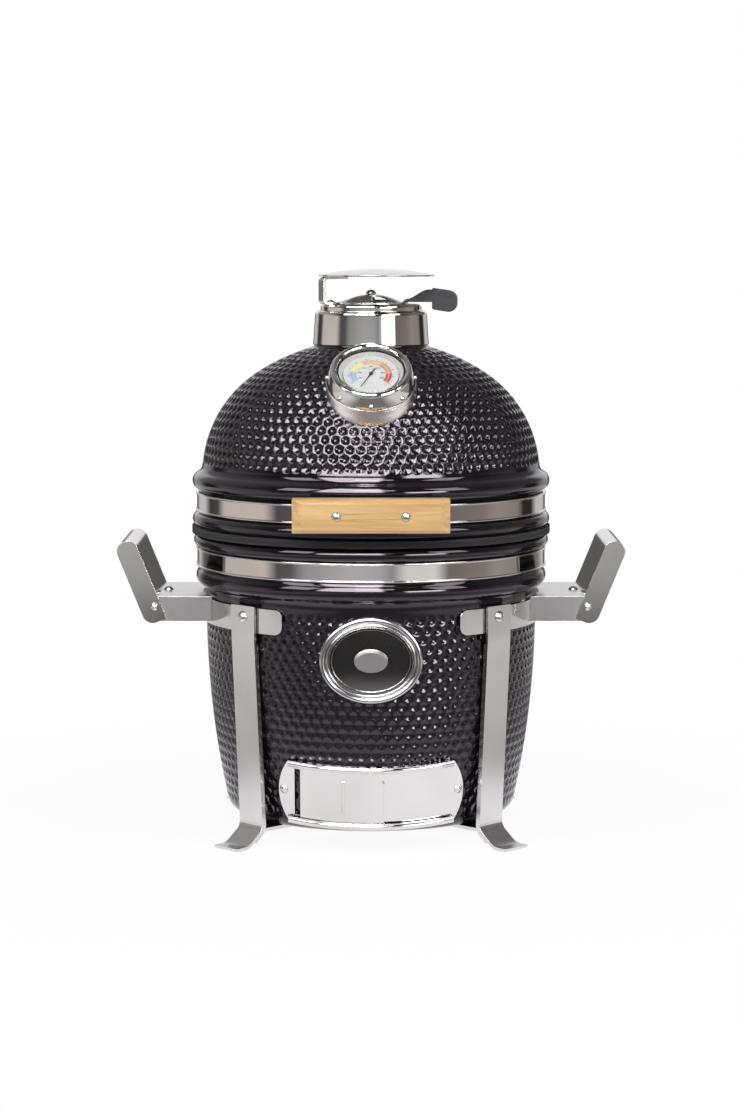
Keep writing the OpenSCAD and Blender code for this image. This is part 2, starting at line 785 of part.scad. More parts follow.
module fire_ring() {
    low = fire_split + seat_gap - waist_z;
    neck = mouth_r - fire_gap;
    color(clay)
        difference() {
            rotate_extrude()
                polygon(concat(
                    arc(belly_c, fire_out, asin(low/fire_out), 0, 6),
                    [[belly_c[0] + fire_out, mouth_z - fire_gap/2], [neck, mouth_z + mouth_slope],
                        [neck, fire_top], [neck - fire_wall, fire_top],
                        [neck - fire_wall, mouth_z + mouth_slope]],
                    arc(belly_c, fire_in, 0, asin(low/fire_in), 6)));
            port_prism(port_front - 70, port_front, port_hole - 3);
        }
}
module charcoal_grate() {
    color(iron)
        translate([0, 0, grate_z + seat_gap])
            difference() {
                cylinder(r = grate_r, h = grate_t);
                for (ring = [0:3], i = [0:max(0, ring*6 - 1)])
                    rotate([0, 0, ring == 0 ? 0 : i*60/ring])
                        translate([ring*(grate_r - grate_seat)*0.29, 0, -over])
                            cylinder(r = grate_hole_r, h = grate_t + 2*over);
            }
}
module cooking_grid() {
    bars = floor((grid_r - bar_wire)/bar_pitch);
    color(steel)
        translate([0, 0, grid_z]) {
            rotate_extrude()
                translate([grid_r, 0])
                    circle(ring_wire, $fn = 32);
            for (i = [-bars:bars])
                grid_bar(i*bar_pitch, bar_wire, (ring_wire - bar_wire)*0.6, 90);
            for (side = [-1, 1])
                grid_bar(side*grid_r*0.4, ring_wire*0.8, -ring_wire*0.1, 0);
        }
}
module grid_bar(offset_x, r, z, turn) {
    half = sqrt(grid_r*grid_r - offset_x*offset_x);
    rotate([0, 0, turn])
        translate([-half, -offset_x, z])
            rotate([0, 90, 0])
                cylinder(r = r, h = 2*half, $fn = 32);
}

// Draft vent
module vent_outline(gap) {
    h = draft_h + 2*gap;
    end_r = (draft_h*draft_h/4 + draft_end*draft_end)/(2*draft_end);
    intersection() {
        square([draft_w + 2*gap, h], center = true);
        union() {
            square([draft_w - 2*draft_end, h], center = true);
            for (side = [-1, 1])
                translate([side*(draft_w/2 - end_r), 0])
                    circle(end_r + gap);
        }
    }
}
module vent_shell(from, to) {
    translate([0, vent_r, 0])
        difference() {
            cylinder(r = vent_r + to, h = draft_h*2, center = true);
            cylinder(r = vent_r + from, h = draft_h*2 + over, center = true);
        }
}
module vent_seat() {
    difference() {
        front_prism(-vent_r*0.3, 12)
            vent_outline(slide_gap);
        translate([0, vent_r, 0])
            cylinder(r = vent_r - seat_gap, h = draft_h*2, center = true);
    }
}
module vent_slab(x0, x1, z0, z1) {
    translate([x0, -20, z0])
        cube([x1 - x0, 20 + vent_r*0.3, z1 - z0]);
}
module draft_screw_rods(r, from, to) {
    translate([0, vent_r, 0])
        for (side = [-1, 1])
            radial_rod(side*turn_at(draft_screw_x, vent_r), r, from, to, 0);
}
module draft_frame() {
    inner = draft_h/2 - rail_lip;
    color(bright)
        at_vent()
            difference() {
                union() {
                    intersection() {
                        front_prism(-vent_r*0.3, 12)
                            vent_outline(0);
                        vent_shell(0, draft_t);
                    }
                    for (side = [0, 1])
                        mirror([0, 0, side])
                            intersection() {
                                vent_slab(-rail_half, rail_half, inner, draft_h/2);
                                vent_shell(0, rail_d);
                            }
                }
                intersection() {
                    vent_slab(-window_left - over, draft_w, -door_h/2 - slide_gap, door_h/2 + slide_gap);
                    vent_shell(draft_t, draft_t + channel);
                }
                vent_slab(-window_left, window_right, -window_h/2, window_h/2);
                draft_screw_rods(screw_r + run_gap, vent_r - over, vent_r + rail_d);
            }
}
module draft_screws() {
    color(steel)
        at_vent()
            translate([0, vent_r, 0])
                for (side = [-1, 1])
                    rotate([0, 0, side*turn_at(draft_screw_x, vent_r) - 90])
                        translate([vent_r, 0, 0])
                            rotate([0, 90, 0]) {
                                translate([0, 0, -screw_l])
                                    cylinder(r = screw_r, h = screw_l + draft_t + seat_gap);
                                translate([0, 0, draft_t + seat_gap])
                                    dome_head(screw_head_r, screw_head_h);
                            }
}
module draft_door() {
    color(bright)
        at_vent()
            translate([0, vent_r, 0]) {
                rotate([0, 0, door_left - 90])
                    rotate_extrude(angle = door_right - door_left)
                        translate([door_r, -door_h/2])
                            square([draft_t, door_h]);
                rotate([0, 0, door_right - 90])
                    translate([door_r, -draft_t, -pull_h/2])
                        cube([draft_t + pull_out, draft_t, pull_h]);
                difference() {
                    rotate([0, 0, turn_at(rib_x, door_r) - 90])
                        translate([door_r + draft_t/2, 0, -pull_h/2])
                            cylinder(r = rib_r, h = pull_h, $fn = 32);
                    cylinder(r = door_r + draft_t/2, h = door_h*2, center = true);
                }
            }
}

// Feed port
module port_prism(from, to, inset) {
    translate([0, 0, port_z])
        front_prism(from, to)
            polygon(oval(port_w - 2*inset, port_h - 2*inset));
}
module port_band(from, to, outer, inner) {
    difference() {
        port_prism(from, to, outer);
        port_prism(from - over, to + over, inner);
    }
}
module port_frame() {
    bead = port_ring/3;
    color(bright) {
        difference() {
            union() {
                port_band(port_front - port_skirt, port_front - 1, 0, port_ring);
                for (i = [0:2])
                    port_band(port_front - 1, port_front, i*bead + 0.3, (i + 1)*bead - 0.5);
            }
            base_mass(seat_gap);
        }
        port_band(port_front - sleeve_l, port_front - 1, port_hole, port_hole + port_t);
        port_band(port_front - port_proud + seat_gap, port_front - 1, port_ring - 0.5, port_hole + port_t);
    }
}
module port_cover() {
    plug = port_hole + port_t + slide_gap;
    color(steel)
        difference() {
            union() {
                port_prism(cover_back, cover_back + cover_t, port_ring + slide_gap);
                port_prism(cover_back - cover_plug, cover_back, plug);
            }
            port_prism(cover_back + cover_t - cover_dish, cover_back + cover_t + over, port_ring + cover_lip);
            port_prism(cover_back - cover_plug - over, cover_back - port_t, plug + port_t);
        }
}
module port_knob() {
    color(bright)
        translate([0, 0, port_z]) {
            front_prism(cover_back + cover_t - cover_dish, port_front + knob_out - 1)
                polygon(oval(knob_w, knob_h));
            front_prism(port_front + knob_out - 1, port_front + knob_out)
                polygon(oval(knob_w - 2, knob_h - 2));
        }
}

// Stand
module stand_hoop(side) {
    w = hoop_outer - hoop_gap + 10;
    color(steel)
        difference() {
            intersection() {
                difference() {
                    cylinder(r = hoop_outer, h = rim_z);
                    translate([0, 0, -over])
                        cylinder(r = hoop_inner, h = rim_z + 2*over);
                }
                translate([side*(hoop_gap + w/2), 0, hoop_z + hoop_h/2])
                    front_prism(-hoop_outer - over, hoop_outer + over)
                        round_rect(w, hoop_h, hoop_round);
            }
            for (turn = leg_turns)
                radial_rod(turn, bolt_r + run_gap, hoop_inner - 5, hoop_outer + 5, leg_bolt_z);
        }
}
module stand_hoop_left() {
    stand_hoop(-1);
}
module stand_hoop_right() {
    stand_hoop(1);
}
module leg(turn) {
    path = eased(leg_path, bend_reach);
    fold = eased(fold_path, bend_reach);
    color(steel)
        difference() {
            union() {
                radial_slab(turn, leg_w)
                    polygon(strip(path, leg_t));
                for (side = [-1, 1])
                    rotate([0, 0, turn])
                        translate([side*(leg_w - leg_t)/2, 0, 0])
                            rotate([0, 0, -turn])
                                radial_slab(turn, leg_t)
                                    polygon(strip(shifted(fold, leg_t/2), leg_fold - leg_t/2));
            }
            radial_rod(turn, bolt_r + run_gap, leg_face - leg_t - 5, leg_face + 5, leg_bolt_z);
        }
}
module leg_front_right() {
    leg(leg_turns[0]);
}
module leg_front_left() {
    leg(leg_turns[1]);
}
module leg_rear_right() {
    leg(leg_turns[2]);
}
module leg_rear_left() {
    leg(leg_turns[3]);
}
module leg_bolts() {
    color(bright)
        for (turn = leg_turns) {
            radial_rod(turn, bolt_r, hoop_inner, leg_face + seat_gap, leg_bolt_z);
            rotate([0, 0, turn - 90])
                translate([leg_face + seat_gap, 0, leg_bolt_z])
                    rotate([0, 90, 0])
                        dome_head(bolt_r*1.7, bolt_r*1.2);
        }
}
module bottom_cross() {
    z = stand_clear - cross_t;
    path = eased([[0, z], cross_end(z), cross_end(stand_clear + cross_tab)], bend_reach);
    color(steel)
        for (turn = leg_turns)
            radial_slab(turn, cross_w)
                polygon(strip(path, -cross_t));
}

// Side handles
module handle_arm(side) {
    outer_x = rivet_x + 6;
    color(steel)
        mirror([side < 0 ? 1 : 0, 0, 0])
            difference() {
                translate([hoop_inner - 30, -arm_half, arm_z])
                    cube([outer_x - hoop_inner + 30, 2*arm_half, arm_h]);
                translate([0, -arm_half + arm_t, arm_z - over])
                    cube([outer_x + over, 2*(arm_half - arm_t), arm_h - arm_t + over]);
                translate([0, 0, arm_z - over])
                    cylinder(r = hoop_outer + seat_gap, h = arm_h + 2*over);
                translate([grip_bolt_x, 0, arm_z])
                    cylinder(r = grip_bolt_r + run_gap, h = arm_h + over);
                handle_rivet_rod(rivet_r + run_gap, grip_half + over);
            }
}
module handle_rivet_rod(r, half) {
    translate([rivet_x, half, rivet_z])
        rotate([90, 0, 0])
            cylinder(r = r, h = 2*half);
}
module handle_arm_left() {
    handle_arm(-1);
}
module handle_arm_right() {
    handle_arm(1);
}
// Slanted slab with a round top, seen from the front, inset by the sheet for its hollow
module grip_outline(inset) {
    w = grip_t - 2*inset;
    translate(grip_foot)
        rotate(-grip_slant) {
            translate([-w/2, grip_turn_r])
                square([w, grip_l - 2*grip_turn_r]);
            translate([0, grip_l - grip_turn_r])
                circle(w/2);
            translate([0, grip_turn_r])
                circle(w/2);
            translate([-w/2, inset])
                square([w/2, grip_turn_r]);
        }
}
module handle_grip(side) {
    arm_top = arm_z + arm_h + seat_gap;
    color(bright)
        mirror([side < 0 ? 1 : 0, 0, 0])
            difference() {
                front_prism(-grip_half, grip_half)
                    grip_outline(0);
                front_prism(-grip_half + arm_t, grip_half - arm_t)
                    grip_outline(arm_t);
                translate([hoop_outer, -arm_half - seat_gap, 0])
                    cube([rivet_x + 6 + seat_gap - hoop_outer, 2*(arm_half + seat_gap), arm_top]);
                translate([hoop_outer, -arm_half + lip_w, 0])
                    cube([reach_y, 2*(arm_half - lip_w), arm_z]);
                handle_rivet_rod(rivet_r + run_gap, grip_half + over);
            }
}
module handle_grip_left() {
    handle_grip(-1);
}
module handle_grip_right() {
    handle_grip(1);
}
module handle_rivets() {
    color(bright)
        both_sides()
            for (side = [0, 1])
                mirror([0, side, 0])
                    translate([rivet_x, -grip_half - seat_gap, rivet_z])
                        rotate([90, 0, 0]) {
                            dome_head(rivet_r*1.8, rivet_r);
                            translate([0, 0, -3*seat_gap - 2*arm_t])
                                cylinder(r = rivet_r, h = 3*seat_gap + 2*arm_t);
                            translate([0, 0, -3*seat_gap - 2*arm_t - 1.5])
                                cylinder(r = rivet_r*1.6, h = 1.5);
                        }
}
module grip_bolts() {
    low = arm_z + arm_h - arm_t - seat_gap - nut_h;
    color(bright)
        both_sides()
            translate([grip_bolt_x, 0, 0]) {
                translate([0, 0, low])
                    cylinder(r = grip_bolt_r, h = arm_z + arm_h + seat_gap - low);
                translate([0, 0, low])
                    cylinder(r = grip_bolt_r*1.8, h = nut_h, $fn = 6);
                translate([0, 0, arm_z + arm_h + seat_gap])
                    dome_head(grip_bolt_r*1.8, grip_bolt_r*1.2);
            }
}

// Hinge between the two bands
module hinge_pad_ring(z, half) {
    difference() {
        intersection() {
            translate([0, 0, z - band_h/2 + 0.5])
                difference() {
                    cylinder(r = band_outer + band_bead + hinge_pad, h = band_h - 1);
                    translate([0, 0, -over])
                        cylinder(r = band_outer + band_bead + seat_gap, h = band_h + over);
                }
            translate([-half, 0, 0])
                cube([2*half, hinge_back, z*2]);
        }
        translate([-band_split - clamp_t, 0, z - clamp_ear_h/2 - 0.5])
            cube([2*(band_split + clamp_t), hinge_back, clamp_ear_h + 1]);
    }
}
module hinge_ear(x0, z, lean) {
    both_sides()
        side_prism(x0, x0 + hinge_t) {
            translate([hinge_y, hinge_z])
                circle(ear_r);
            polygon([[band_outer, z - band_h/2 + 0.5], [band_outer, z + band_h/2 - 0.5],
                [hinge_y + lean*ear_r*0.7, hinge_z + ear_r*0.7],
                [hinge_y - lean*ear_r*0.7, hinge_z - ear_r*0.7]]);
        }
}
module hinge_hole(r) {
    translate([-hinge_half - over, hinge_y, hinge_z])
        rotate([0, 90, 0])
            cylinder(r = r, h = 2*hinge_half + 2*over);
}
module hinge_lower() {
    color(steel)
        difference() {
            union() {
                hinge_pad_ring(band_z, hinge_half + 2);
                hinge_ear(hinge_half - hinge_t, band_z, -1);
            }
            translate([0, 0, band_z - band_h])
                cylinder(r = band_outer + band_bead + seat_gap, h = band_h*2);
            base_mass(slide_gap);
            hinge_hole(pin_r + run_gap);
        }
}
module hinge_upper() {
    color(steel)
        difference() {
            union() {
                hinge_pad_ring(lid_band_z, upper_half + 2);
                hinge_ear(upper_half - hinge_t, lid_band_z, 1);
            }
            translate([0, 0, lid_band_z - band_h])
                cylinder(r = band_outer + band_bead + seat_gap, h = band_h*2);
            dome_mass(slide_gap);
            hinge_hole(pin_r + run_gap);
        }
}
module hinge_pin() {
    color(bright)
        translate([0, hinge_y, hinge_z])
            rotate([0, 90, 0]) {
                cylinder(r = pin_r, h = 2*hinge_half + 1, center = true);
                for (side = [0, 1])
                    mirror([0, 0, side])
                        translate([0, 0, hinge_half + seat_gap])
                            dome_head(pin_head_r, pin_head_h);
            }
}

// Lid
module lid_dome() {
    color(glaze)
        difference() {
            rotate_extrude()
                polygon(concat(lid_outer(), lid_inner()));
            at_gauge()
                translate([0, 0, -probe_l])
                    cylinder(r = probe_r + seat_gap, h = probe_l + bezel_h);
        }
}
module lid_band() {
    color(bright)
        clamp_band(lid_band_z);
}
module lid_band_bolt() {
    color(steel)
        clamp_bolt(lid_band_z);
}
module lid_gasket() {
    color(felt)
        gasket(lid_z - gasket_t);
}
module lid_handle() {
    back = reach_y - wood_t;
    color(wood)
        difference() {
            intersection() {
                translate([0, 0, wood_z])
                    side_prism(-wood_w/2, wood_w/2)
                        polygon([[-back, -wood_h/2], [-back, wood_h/2],
                            [-reach_y + wood_edge_bevel, wood_h/2],
                            [-reach_y, wood_h/2 - wood_edge_bevel],
                            [-reach_y, -wood_h/2 + wood_edge_bevel],
                            [-reach_y + wood_edge_bevel, -wood_h/2]]);
                translate([0, 0, wood_z - wood_h])
                    linear_extrude(2*wood_h)
                        polygon([[-wood_w/2, -back], [-wood_w/2, -reach_y + wood_end_bevel/2],
                            [-wood_w/2 + wood_end_bevel, -reach_y],
                            [wood_w/2 - wood_end_bevel, -reach_y],
                            [wood_w/2, -reach_y + wood_end_bevel/2], [wood_w/2, -back]]);
            }
            handle_screw_rods(screw_r + run_gap, back - over, reach_y + over);
        }
}
module handle_screw_rods(r, from, to) {
    for (side = [-1, 1])
        translate([side*wood_screw_gap/2, -from, wood_z])
            rotate([90, 0, 0])
                cylinder(r = r, h = to - from);
}
module handle_bosses() {
    back = reach_y - wood_t;
    color(steel)
        difference() {
            handle_screw_rods(boss_r, groove_r*0.9, back - seat_gap);
            translate([0, 0, lid_band_z - band_h])
                cylinder(r = band_outer + seat_gap, h = band_h*2);
            for (side = [-1, 1])
                translate([0, 0, lid_band_z + side*(band_h/2 - band_bead)])
                    rotate_extrude()
                        translate([band_outer, 0])
                            circle(band_bead + seat_gap);
            handle_screw_rods(screw_r + run_gap, groove_r*0.9, reach_y);
        }
}
module handle_screws() {
    color(bright) {
        handle_screw_rods(screw_r, band_outer + 1, reach_y + seat_gap);
        for (side = [-1, 1])
            translate([side*wood_screw_gap/2, -reach_y - seat_gap, wood_z])
                rotate([90, 0, 0])
                    dome_head(screw_head_r, screw_head_h);
    }
}

// Chimney and damper
module chimney_collar() {
    shoulder = [collar_r - collar_lean - collar_round, collar_z + collar_h - collar_round];
    ring_c = [ring_r - ring_round, collar_top - ring_round];
    color(bright)
        difference() {
            rotate_extrude()
                polygon(concat([[collar_r - collar_t, collar_z], [collar_r, collar_z]],
                    arc(shoulder, collar_round, 0, 90, 6),
                    [[ring_r, collar_z + collar_h]],
                    arc(ring_c, ring_round, 0, 90, 6),
                    [[collar_mouth_r, collar_top], [collar_mouth_r, collar_top - collar_t]],
                    arc(ring_c, ring_round - collar_t, 90, 0, 2),
                    [[ring_r - collar_t, collar_z + collar_h - collar_t]],
                    arc(shoulder, collar_round - collar_t, 90, 0, 6)));
            translate([cap_pivot[0], cap_pivot[1], collar_z])
                cylinder(r = cap_rivet_r + run_gap, h = collar_h + ring_h + over);
        }
}
module vent_windows(h) {
    for (i = [0:window_count - 1])
        rotate([0, 0, i*360/window_count + 30])
            rotate_extrude(angle = window_angle)
                translate([window_inner, 0])
                    square([window_outer - window_inner, h]);
}
module vent_plate() {
    color(steel)
        difference() {
            translate([0, 0, vent_plate_z])
                cylinder(r = vent_plate_r, h = vent_plate_t);
            translate([0, 0, vent_plate_z - over])
                vent_windows(vent_plate_t + 2*over);
            translate([0, 0, vent_plate_z - over])
                cylinder(r = damper_bolt_r + run_gap, h = vent_plate_t + 2*over);
            translate([cap_pivot[0], cap_pivot[1], vent_plate_z - over])
                cylinder(r = cap_rivet_head + seat_gap, h = vent_plate_t + 2*over);
        }
}
module damper_bolt() {
    color(bright) {
        translate([0, 0, vent_plate_z - nut_h])
            cylinder(r = damper_bolt_r, h = damper_top + slide_gap - vent_plate_z + nut_h);
        translate([0, 0, damper_top + slide_gap])
            dome_head(damper_bolt_r*1.7, bolt_head_h);
        translate([0, 0, vent_plate_z - nut_h - seat_gap])
            cylinder(r = damper_bolt_r*1.9, h = nut_h, $fn = 6);
    }
}
module damper_dome() {
    cap_base = damper_z + damper_t;
    color(steel)
        difference() {
            union() {
                translate([0, 0, damper_z])
                    cylinder(r = damper_flange_r, h = damper_t);
                intersection() {
                    translate([0, 0, cap_base])
                        cylinder(r = damper_dome_r, h = damper_rise);
                    translate([0, 0, damper_top - dome_sphere])
                        sphere(dome_sphere);
                }
            }
            intersection() {
                translate([0, 0, damper_z - over])
                    cylinder(r = damper_dome_r - damper_t, h = damper_rise + damper_t);
                translate([0, 0, damper_top - dome_sphere])
                    sphere(dome_sphere - damper_t);
            }
            translate([0, 0, damper_z - over])
                vent_windows(damper_rise + damper_t + 2*over);
            translate([0, 0, damper_z - over])
                cylinder(r = damper_bolt_r + run_gap, h = damper_rise + damper_t + 2*over);
        }
}
module damper_lever() {
    low = damper_z + damper_t + seat_gap;
    high = paddle_z + paddle_h/2 - 1.5;
    color(black)
        difference() {
            front_prism(-lever_w/2, lever_w/2)
                polygon(concat([[damper_dome_r + 0.5, low], [paddle_start, low]],
                    [[paddle_start, high]],
                    [for (s = [0:0.125:1])
                        [paddle_start - 3 - s*(paddle_start - damper_flange_r - 1),
                            high - (high - low - 2.5)*(3*s*s - 2*s*s*s)]]));
            for (side = [-1, 1], i = [0:2])
                translate([damper_flange_r, side*lever_w/2, low + 2.5 + i*4*lever_rib])
                    rotate([0, -12, 0])
                        translate([0, -lever_rib/2, 0])
                            cube([paddle_start, lever_rib, lever_rib]);
        }
}
module damper_grip() {
    round_r = paddle_h*0.42;
    end_x = paddle_l - round_r;
    drop = end_x*tan(paddle_tilt);
    color(black)
        translate([paddle_start + seat_gap, 0, paddle_z])
            front_prism(-paddle_t/2, paddle_t/2)
                polygon(concat([[0, paddle_h/2 - 1], [0, 1 - paddle_h/2], [1, -paddle_h/2]],
                    arc([end_x, round_r - paddle_h/2 - drop], round_r, -90 - paddle_tilt, -paddle_tilt, 8),
                    arc([end_x, paddle_h/2 - round_r - drop], round_r, -paddle_tilt, 90 - paddle_tilt, 8),
                    [[1, paddle_h/2]]));
}

// Rain cap on its swivelling strap
module at_strap() {
    rotate([0, 0, 180 + strap_turn])
        children();
}
module cap_rivet() {
    color(bright)
        translate([cap_pivot[0], cap_pivot[1], 0]) {
            translate([0, 0, collar_top - collar_t - 1])
                cylinder(r = cap_rivet_r, h = collar_t + 1 + strap_t + 2*seat_gap);
            translate([0, 0, strap_z + strap_t + seat_gap])
                dome_head(cap_rivet_head, 2);
            translate([0, 0, collar_top - collar_t - 1.2])
                cylinder(r = cap_rivet_head - 0.5, h = 1.1);
        }
}
module cap_strap() {
    post = strap_pivot + strap_foot;
    top = cap_z - strap_t - seat_gap;
    path = eased([[strap_pivot, strap_z + strap_t], [post, strap_z + strap_t],
        [post, top], [post - strap_leg, top]], strap_bend);
    color(steel)
        difference() {
            union() {
                at_strap()
                    translate([0, strap_w/2, 0])
                        rotate([90, 0, 0])
                            linear_extrude(strap_w)
                                polygon(strip(path, strap_t));
                translate([cap_pivot[0], cap_pivot[1], strap_z])
                    cylinder(r = strap_w/2 - seat_gap, h = strap_t);
            }
            translate([cap_pivot[0], cap_pivot[1], strap_z - over])
                cylinder(r = cap_rivet_r + run_gap, h = strap_t + 2*over);
        }
}
module rain_cap() {
    color(bright)
        translate([cap_shift, 0, cap_z])
            difference() {
                intersection() {
                    translate([0, 0, -cap_t])
                        cylinder(r = cap_r, h = cap_crown + 3*cap_t);
                    translate([0, 0, cap_crown + cap_t - cap_sphere])
                        sphere(cap_sphere, $fn = 192);
                }
                translate([0, 0, cap_crown - cap_sphere])
                    sphere(cap_sphere, $fn = 192);
            }
}

// Thermometer
module thermometer_bezel() {
    rim_z = bezel_h - rim_round;
    skirt = 14;
    color(bright)
        difference() {
            union() {
                at_gauge()
                    rotate_extrude()
                        polygon(concat([[0, -skirt], [bezel_r, -skirt], [bezel_r, bezel_foot - bezel_lip]],
                            [for (s = [0:0.16:0.96]) [bezel_side(s), bezel_foot + (rim_z - bezel_foot)*s]],
                            arc([bezel_rim_r - rim_round, rim_z], rim_round, 0, 180, 10),
                            [[glass_r, glass_z - seat_gap], [dial_r, dial_z], [0, dial_z]]));
                at_gauge()
                    for (i = [0:bump_count - 1])
                        rotate([0, 0, i*360/bump_count - 90])
                            translate([bezel_side((bump_z - bezel_foot)/(rim_z - bezel_foot)), 0, bump_z])
                                sphere(bump_r, $fn = 32);
            }
            dome_mass(seat_gap);
            at_gauge() {
                translate([0, 0, glass_z - seat_gap])
                    cylinder(r = glass_r + glass_lap + seat_gap, h = glass_t + 2*seat_gap);
                translate([0, 0, -skirt - over])
                    cylinder(r = probe_r + seat_gap, h = bezel_h + skirt);
            }
        }
}
module thermometer_dial() {
    color("white")
        at_gauge()
            translate([0, 0, dial_z + seat_gap])
                difference() {
                    cylinder(r = dial_r, h = dial_t);
                    translate([0, 0, -over])
                        cylinder(r = spindle_r + slide_gap, h = dial_t + 2*over);
                }
}
module thermometer_glass() {
    color("#dfe6ea", 0.35)
        at_gauge()
            translate([0, 0, glass_z])
                cylinder(r = glass_r + glass_lap, h = glass_t);
}
module thermometer_stem() {
    color(steel)
        at_gauge() {
            translate([0, 0, -probe_l])
                cylinder(r = probe_r, h = probe_l + dial_z);
            cylinder(r = spindle_r, h = needle_z + needle_t + slide_gap);
        }
}
module thermometer_nut() {
    color(steel)
        at_gauge()
            translate([0, 0, -lid_wall - probe_nut_h - 0.6])
                difference() {
                    cylinder(r = probe_nut_r, h = probe_nut_h, $fn = 6);
                    translate([0, 0, -over])
                        cylinder(r = probe_r + run_gap, h = probe_nut_h + 2*over);
                }
}
module thermometer_needle() {
    color(black)
        at_gauge()
            translate([0, 0, needle_z])
                rotate([0, 0, -needle_angle])
                    difference() {
                        union() {
                            cylinder(r = needle_hub, h = needle_t);
                            linear_extrude(needle_t)
                                polygon([[-0.25, needle_l], [0.25, needle_l], [0.8, 0],
                                    [1.1, -needle_tail], [-1.1, -needle_tail], [-0.8, 0]]);
                        }
                        translate([0, 0, -over])
                            cylinder(r = spindle_r + run_gap, h = needle_t + 2*over);
                    }
}

base_shell();
base_band();
base_band_bolt();
base_gasket();
fire_box();
fire_ring();
charcoal_grate();
cooking_grid();
draft_frame();
draft_screws();
draft_door();
port_frame();
port_cover();
port_knob();
stand_hoop_left();
stand_hoop_right();
leg_front_right();
leg_front_left();
leg_rear_right();
leg_rear_left();
leg_bolts();
bottom_cross();
handle_arm_left();
handle_arm_right();
handle_grip_left();
handle_grip_right();
handle_rivets();
grip_bolts();
hinge_lower();
hinge_pin();
lid_dome();
lid_band();
lid_band_bolt();
lid_gasket();
hinge_upper();
lid_handle();
handle_bosses();
handle_screws();
chimney_collar();
vent_plate();
damper_bolt();
damper_dome();
damper_lever();
damper_grip();
cap_rivet();
cap_strap();
rain_cap();
thermometer_bezel();
thermometer_dial();
thermometer_glass();
thermometer_stem();
thermometer_nut();
thermometer_needle();
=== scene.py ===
import bisect
import json
import math
import random

import bmesh
import bpy
from mathutils import Matrix, Vector, kdtree
from mathutils.geometry import delaunay_2d_cdt


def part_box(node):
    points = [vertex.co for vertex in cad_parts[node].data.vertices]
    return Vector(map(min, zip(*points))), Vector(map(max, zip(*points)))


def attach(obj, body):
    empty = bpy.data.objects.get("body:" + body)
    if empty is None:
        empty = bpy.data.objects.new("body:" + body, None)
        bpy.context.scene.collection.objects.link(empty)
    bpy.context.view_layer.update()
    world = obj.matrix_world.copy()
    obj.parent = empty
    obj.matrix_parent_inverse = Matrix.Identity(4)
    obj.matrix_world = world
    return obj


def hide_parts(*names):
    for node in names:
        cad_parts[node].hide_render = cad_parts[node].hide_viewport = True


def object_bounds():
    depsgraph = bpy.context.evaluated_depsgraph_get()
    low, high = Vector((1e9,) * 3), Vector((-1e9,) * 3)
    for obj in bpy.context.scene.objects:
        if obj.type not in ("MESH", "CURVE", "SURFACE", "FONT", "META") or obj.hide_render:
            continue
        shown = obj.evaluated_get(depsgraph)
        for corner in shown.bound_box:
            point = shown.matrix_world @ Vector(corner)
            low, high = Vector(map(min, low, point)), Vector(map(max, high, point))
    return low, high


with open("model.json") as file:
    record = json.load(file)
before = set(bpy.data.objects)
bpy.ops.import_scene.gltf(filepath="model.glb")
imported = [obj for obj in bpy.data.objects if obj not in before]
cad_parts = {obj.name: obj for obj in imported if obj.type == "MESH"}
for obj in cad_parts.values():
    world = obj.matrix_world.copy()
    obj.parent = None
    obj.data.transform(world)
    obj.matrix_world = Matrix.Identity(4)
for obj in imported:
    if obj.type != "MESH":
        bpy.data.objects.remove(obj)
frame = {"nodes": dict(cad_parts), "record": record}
cad_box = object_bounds()
scene = bpy.context.scene
slot_of = {part["node"]: part["material_slot"] for part in frame["record"]["subparts"]}
MM = 0.001
FULL = 2 * math.pi


# Shader helpers
def add(tree, kind, settings=None, inputs=None):
    """A new shader node. Each input is a plain value, or the socket that feeds it."""
    made = tree.nodes.new("ShaderNode" + kind)
    for key, value in (settings or {}).items():
        setattr(made, key, value)
    for key, value in (inputs or {}).items():
        if isinstance(value, bpy.types.NodeSocket):
            tree.links.new(value, made.inputs[key])
        else:
            made.inputs[key].default_value = value
    return made


def worked(tree, operation, first, second=0.0):
    return add(tree, "Math", {"operation": operation}, {0: first, 1: second}).outputs[0]


def worked_vectors(tree, operation, first, second, result):
    """Vector arithmetic. The result is the socket named Vector or the one named Value."""
    return add(tree, "VectorMath", {"operation": operation}, {0: first, 1: second}).outputs[result]


def mixed(tree, factor, first, second):
    """One shader node out of two. The second shows where the factor is one."""
    return add(tree, "MixShader", {}, {0: factor, 1: first.outputs[0], 2: second.outputs[0]})


def material(name, **values):
    made = bpy.data.materials.new(name)
    made.use_nodes = True
    tree = made.node_tree
    shader = tree.nodes["Principled BSDF"]
    for key, value in values.items():
        shader.inputs[key.replace("_", " ")].default_value = value
    return made, tree, shader


def even(scale):
    return scale, scale, scale


def noise(tree, scale, detail=3.0, roughness=0.55):
    place = add(tree, "TexCoord")
    stretched = add(tree, "Mapping", {}, {"Vector": place.outputs["Object"], "Scale": scale})
    inputs = {"Vector": stretched.outputs[0], "Scale": 1.0, "Detail": detail, "Roughness": roughness}
    return add(tree, "TexNoise", {}, inputs).outputs[0]


def between(tree, value, low, high, start=0.3, end=0.7, interpolation="LINEAR"):
    """Goes from low to high while the value goes from start to end."""
    inputs = {"Value": value, "From Min": start, "From Max": end, "To Min": low, "To Max": high}
    return add(tree, "MapRange", {"interpolation_type": interpolation}, inputs).outputs[0]


def band(tree, value, start, end, soft):
    """One while the value is between start and end, zero outside, with soft edges."""
    rising = between(tree, value, 0.0, 1.0, start - soft, start + soft, "SMOOTHSTEP")
    falling = between(tree, value, 1.0, 0.0, end - soft, end + soft, "SMOOTHSTEP")
    return worked(tree, "MULTIPLY", rising, falling)


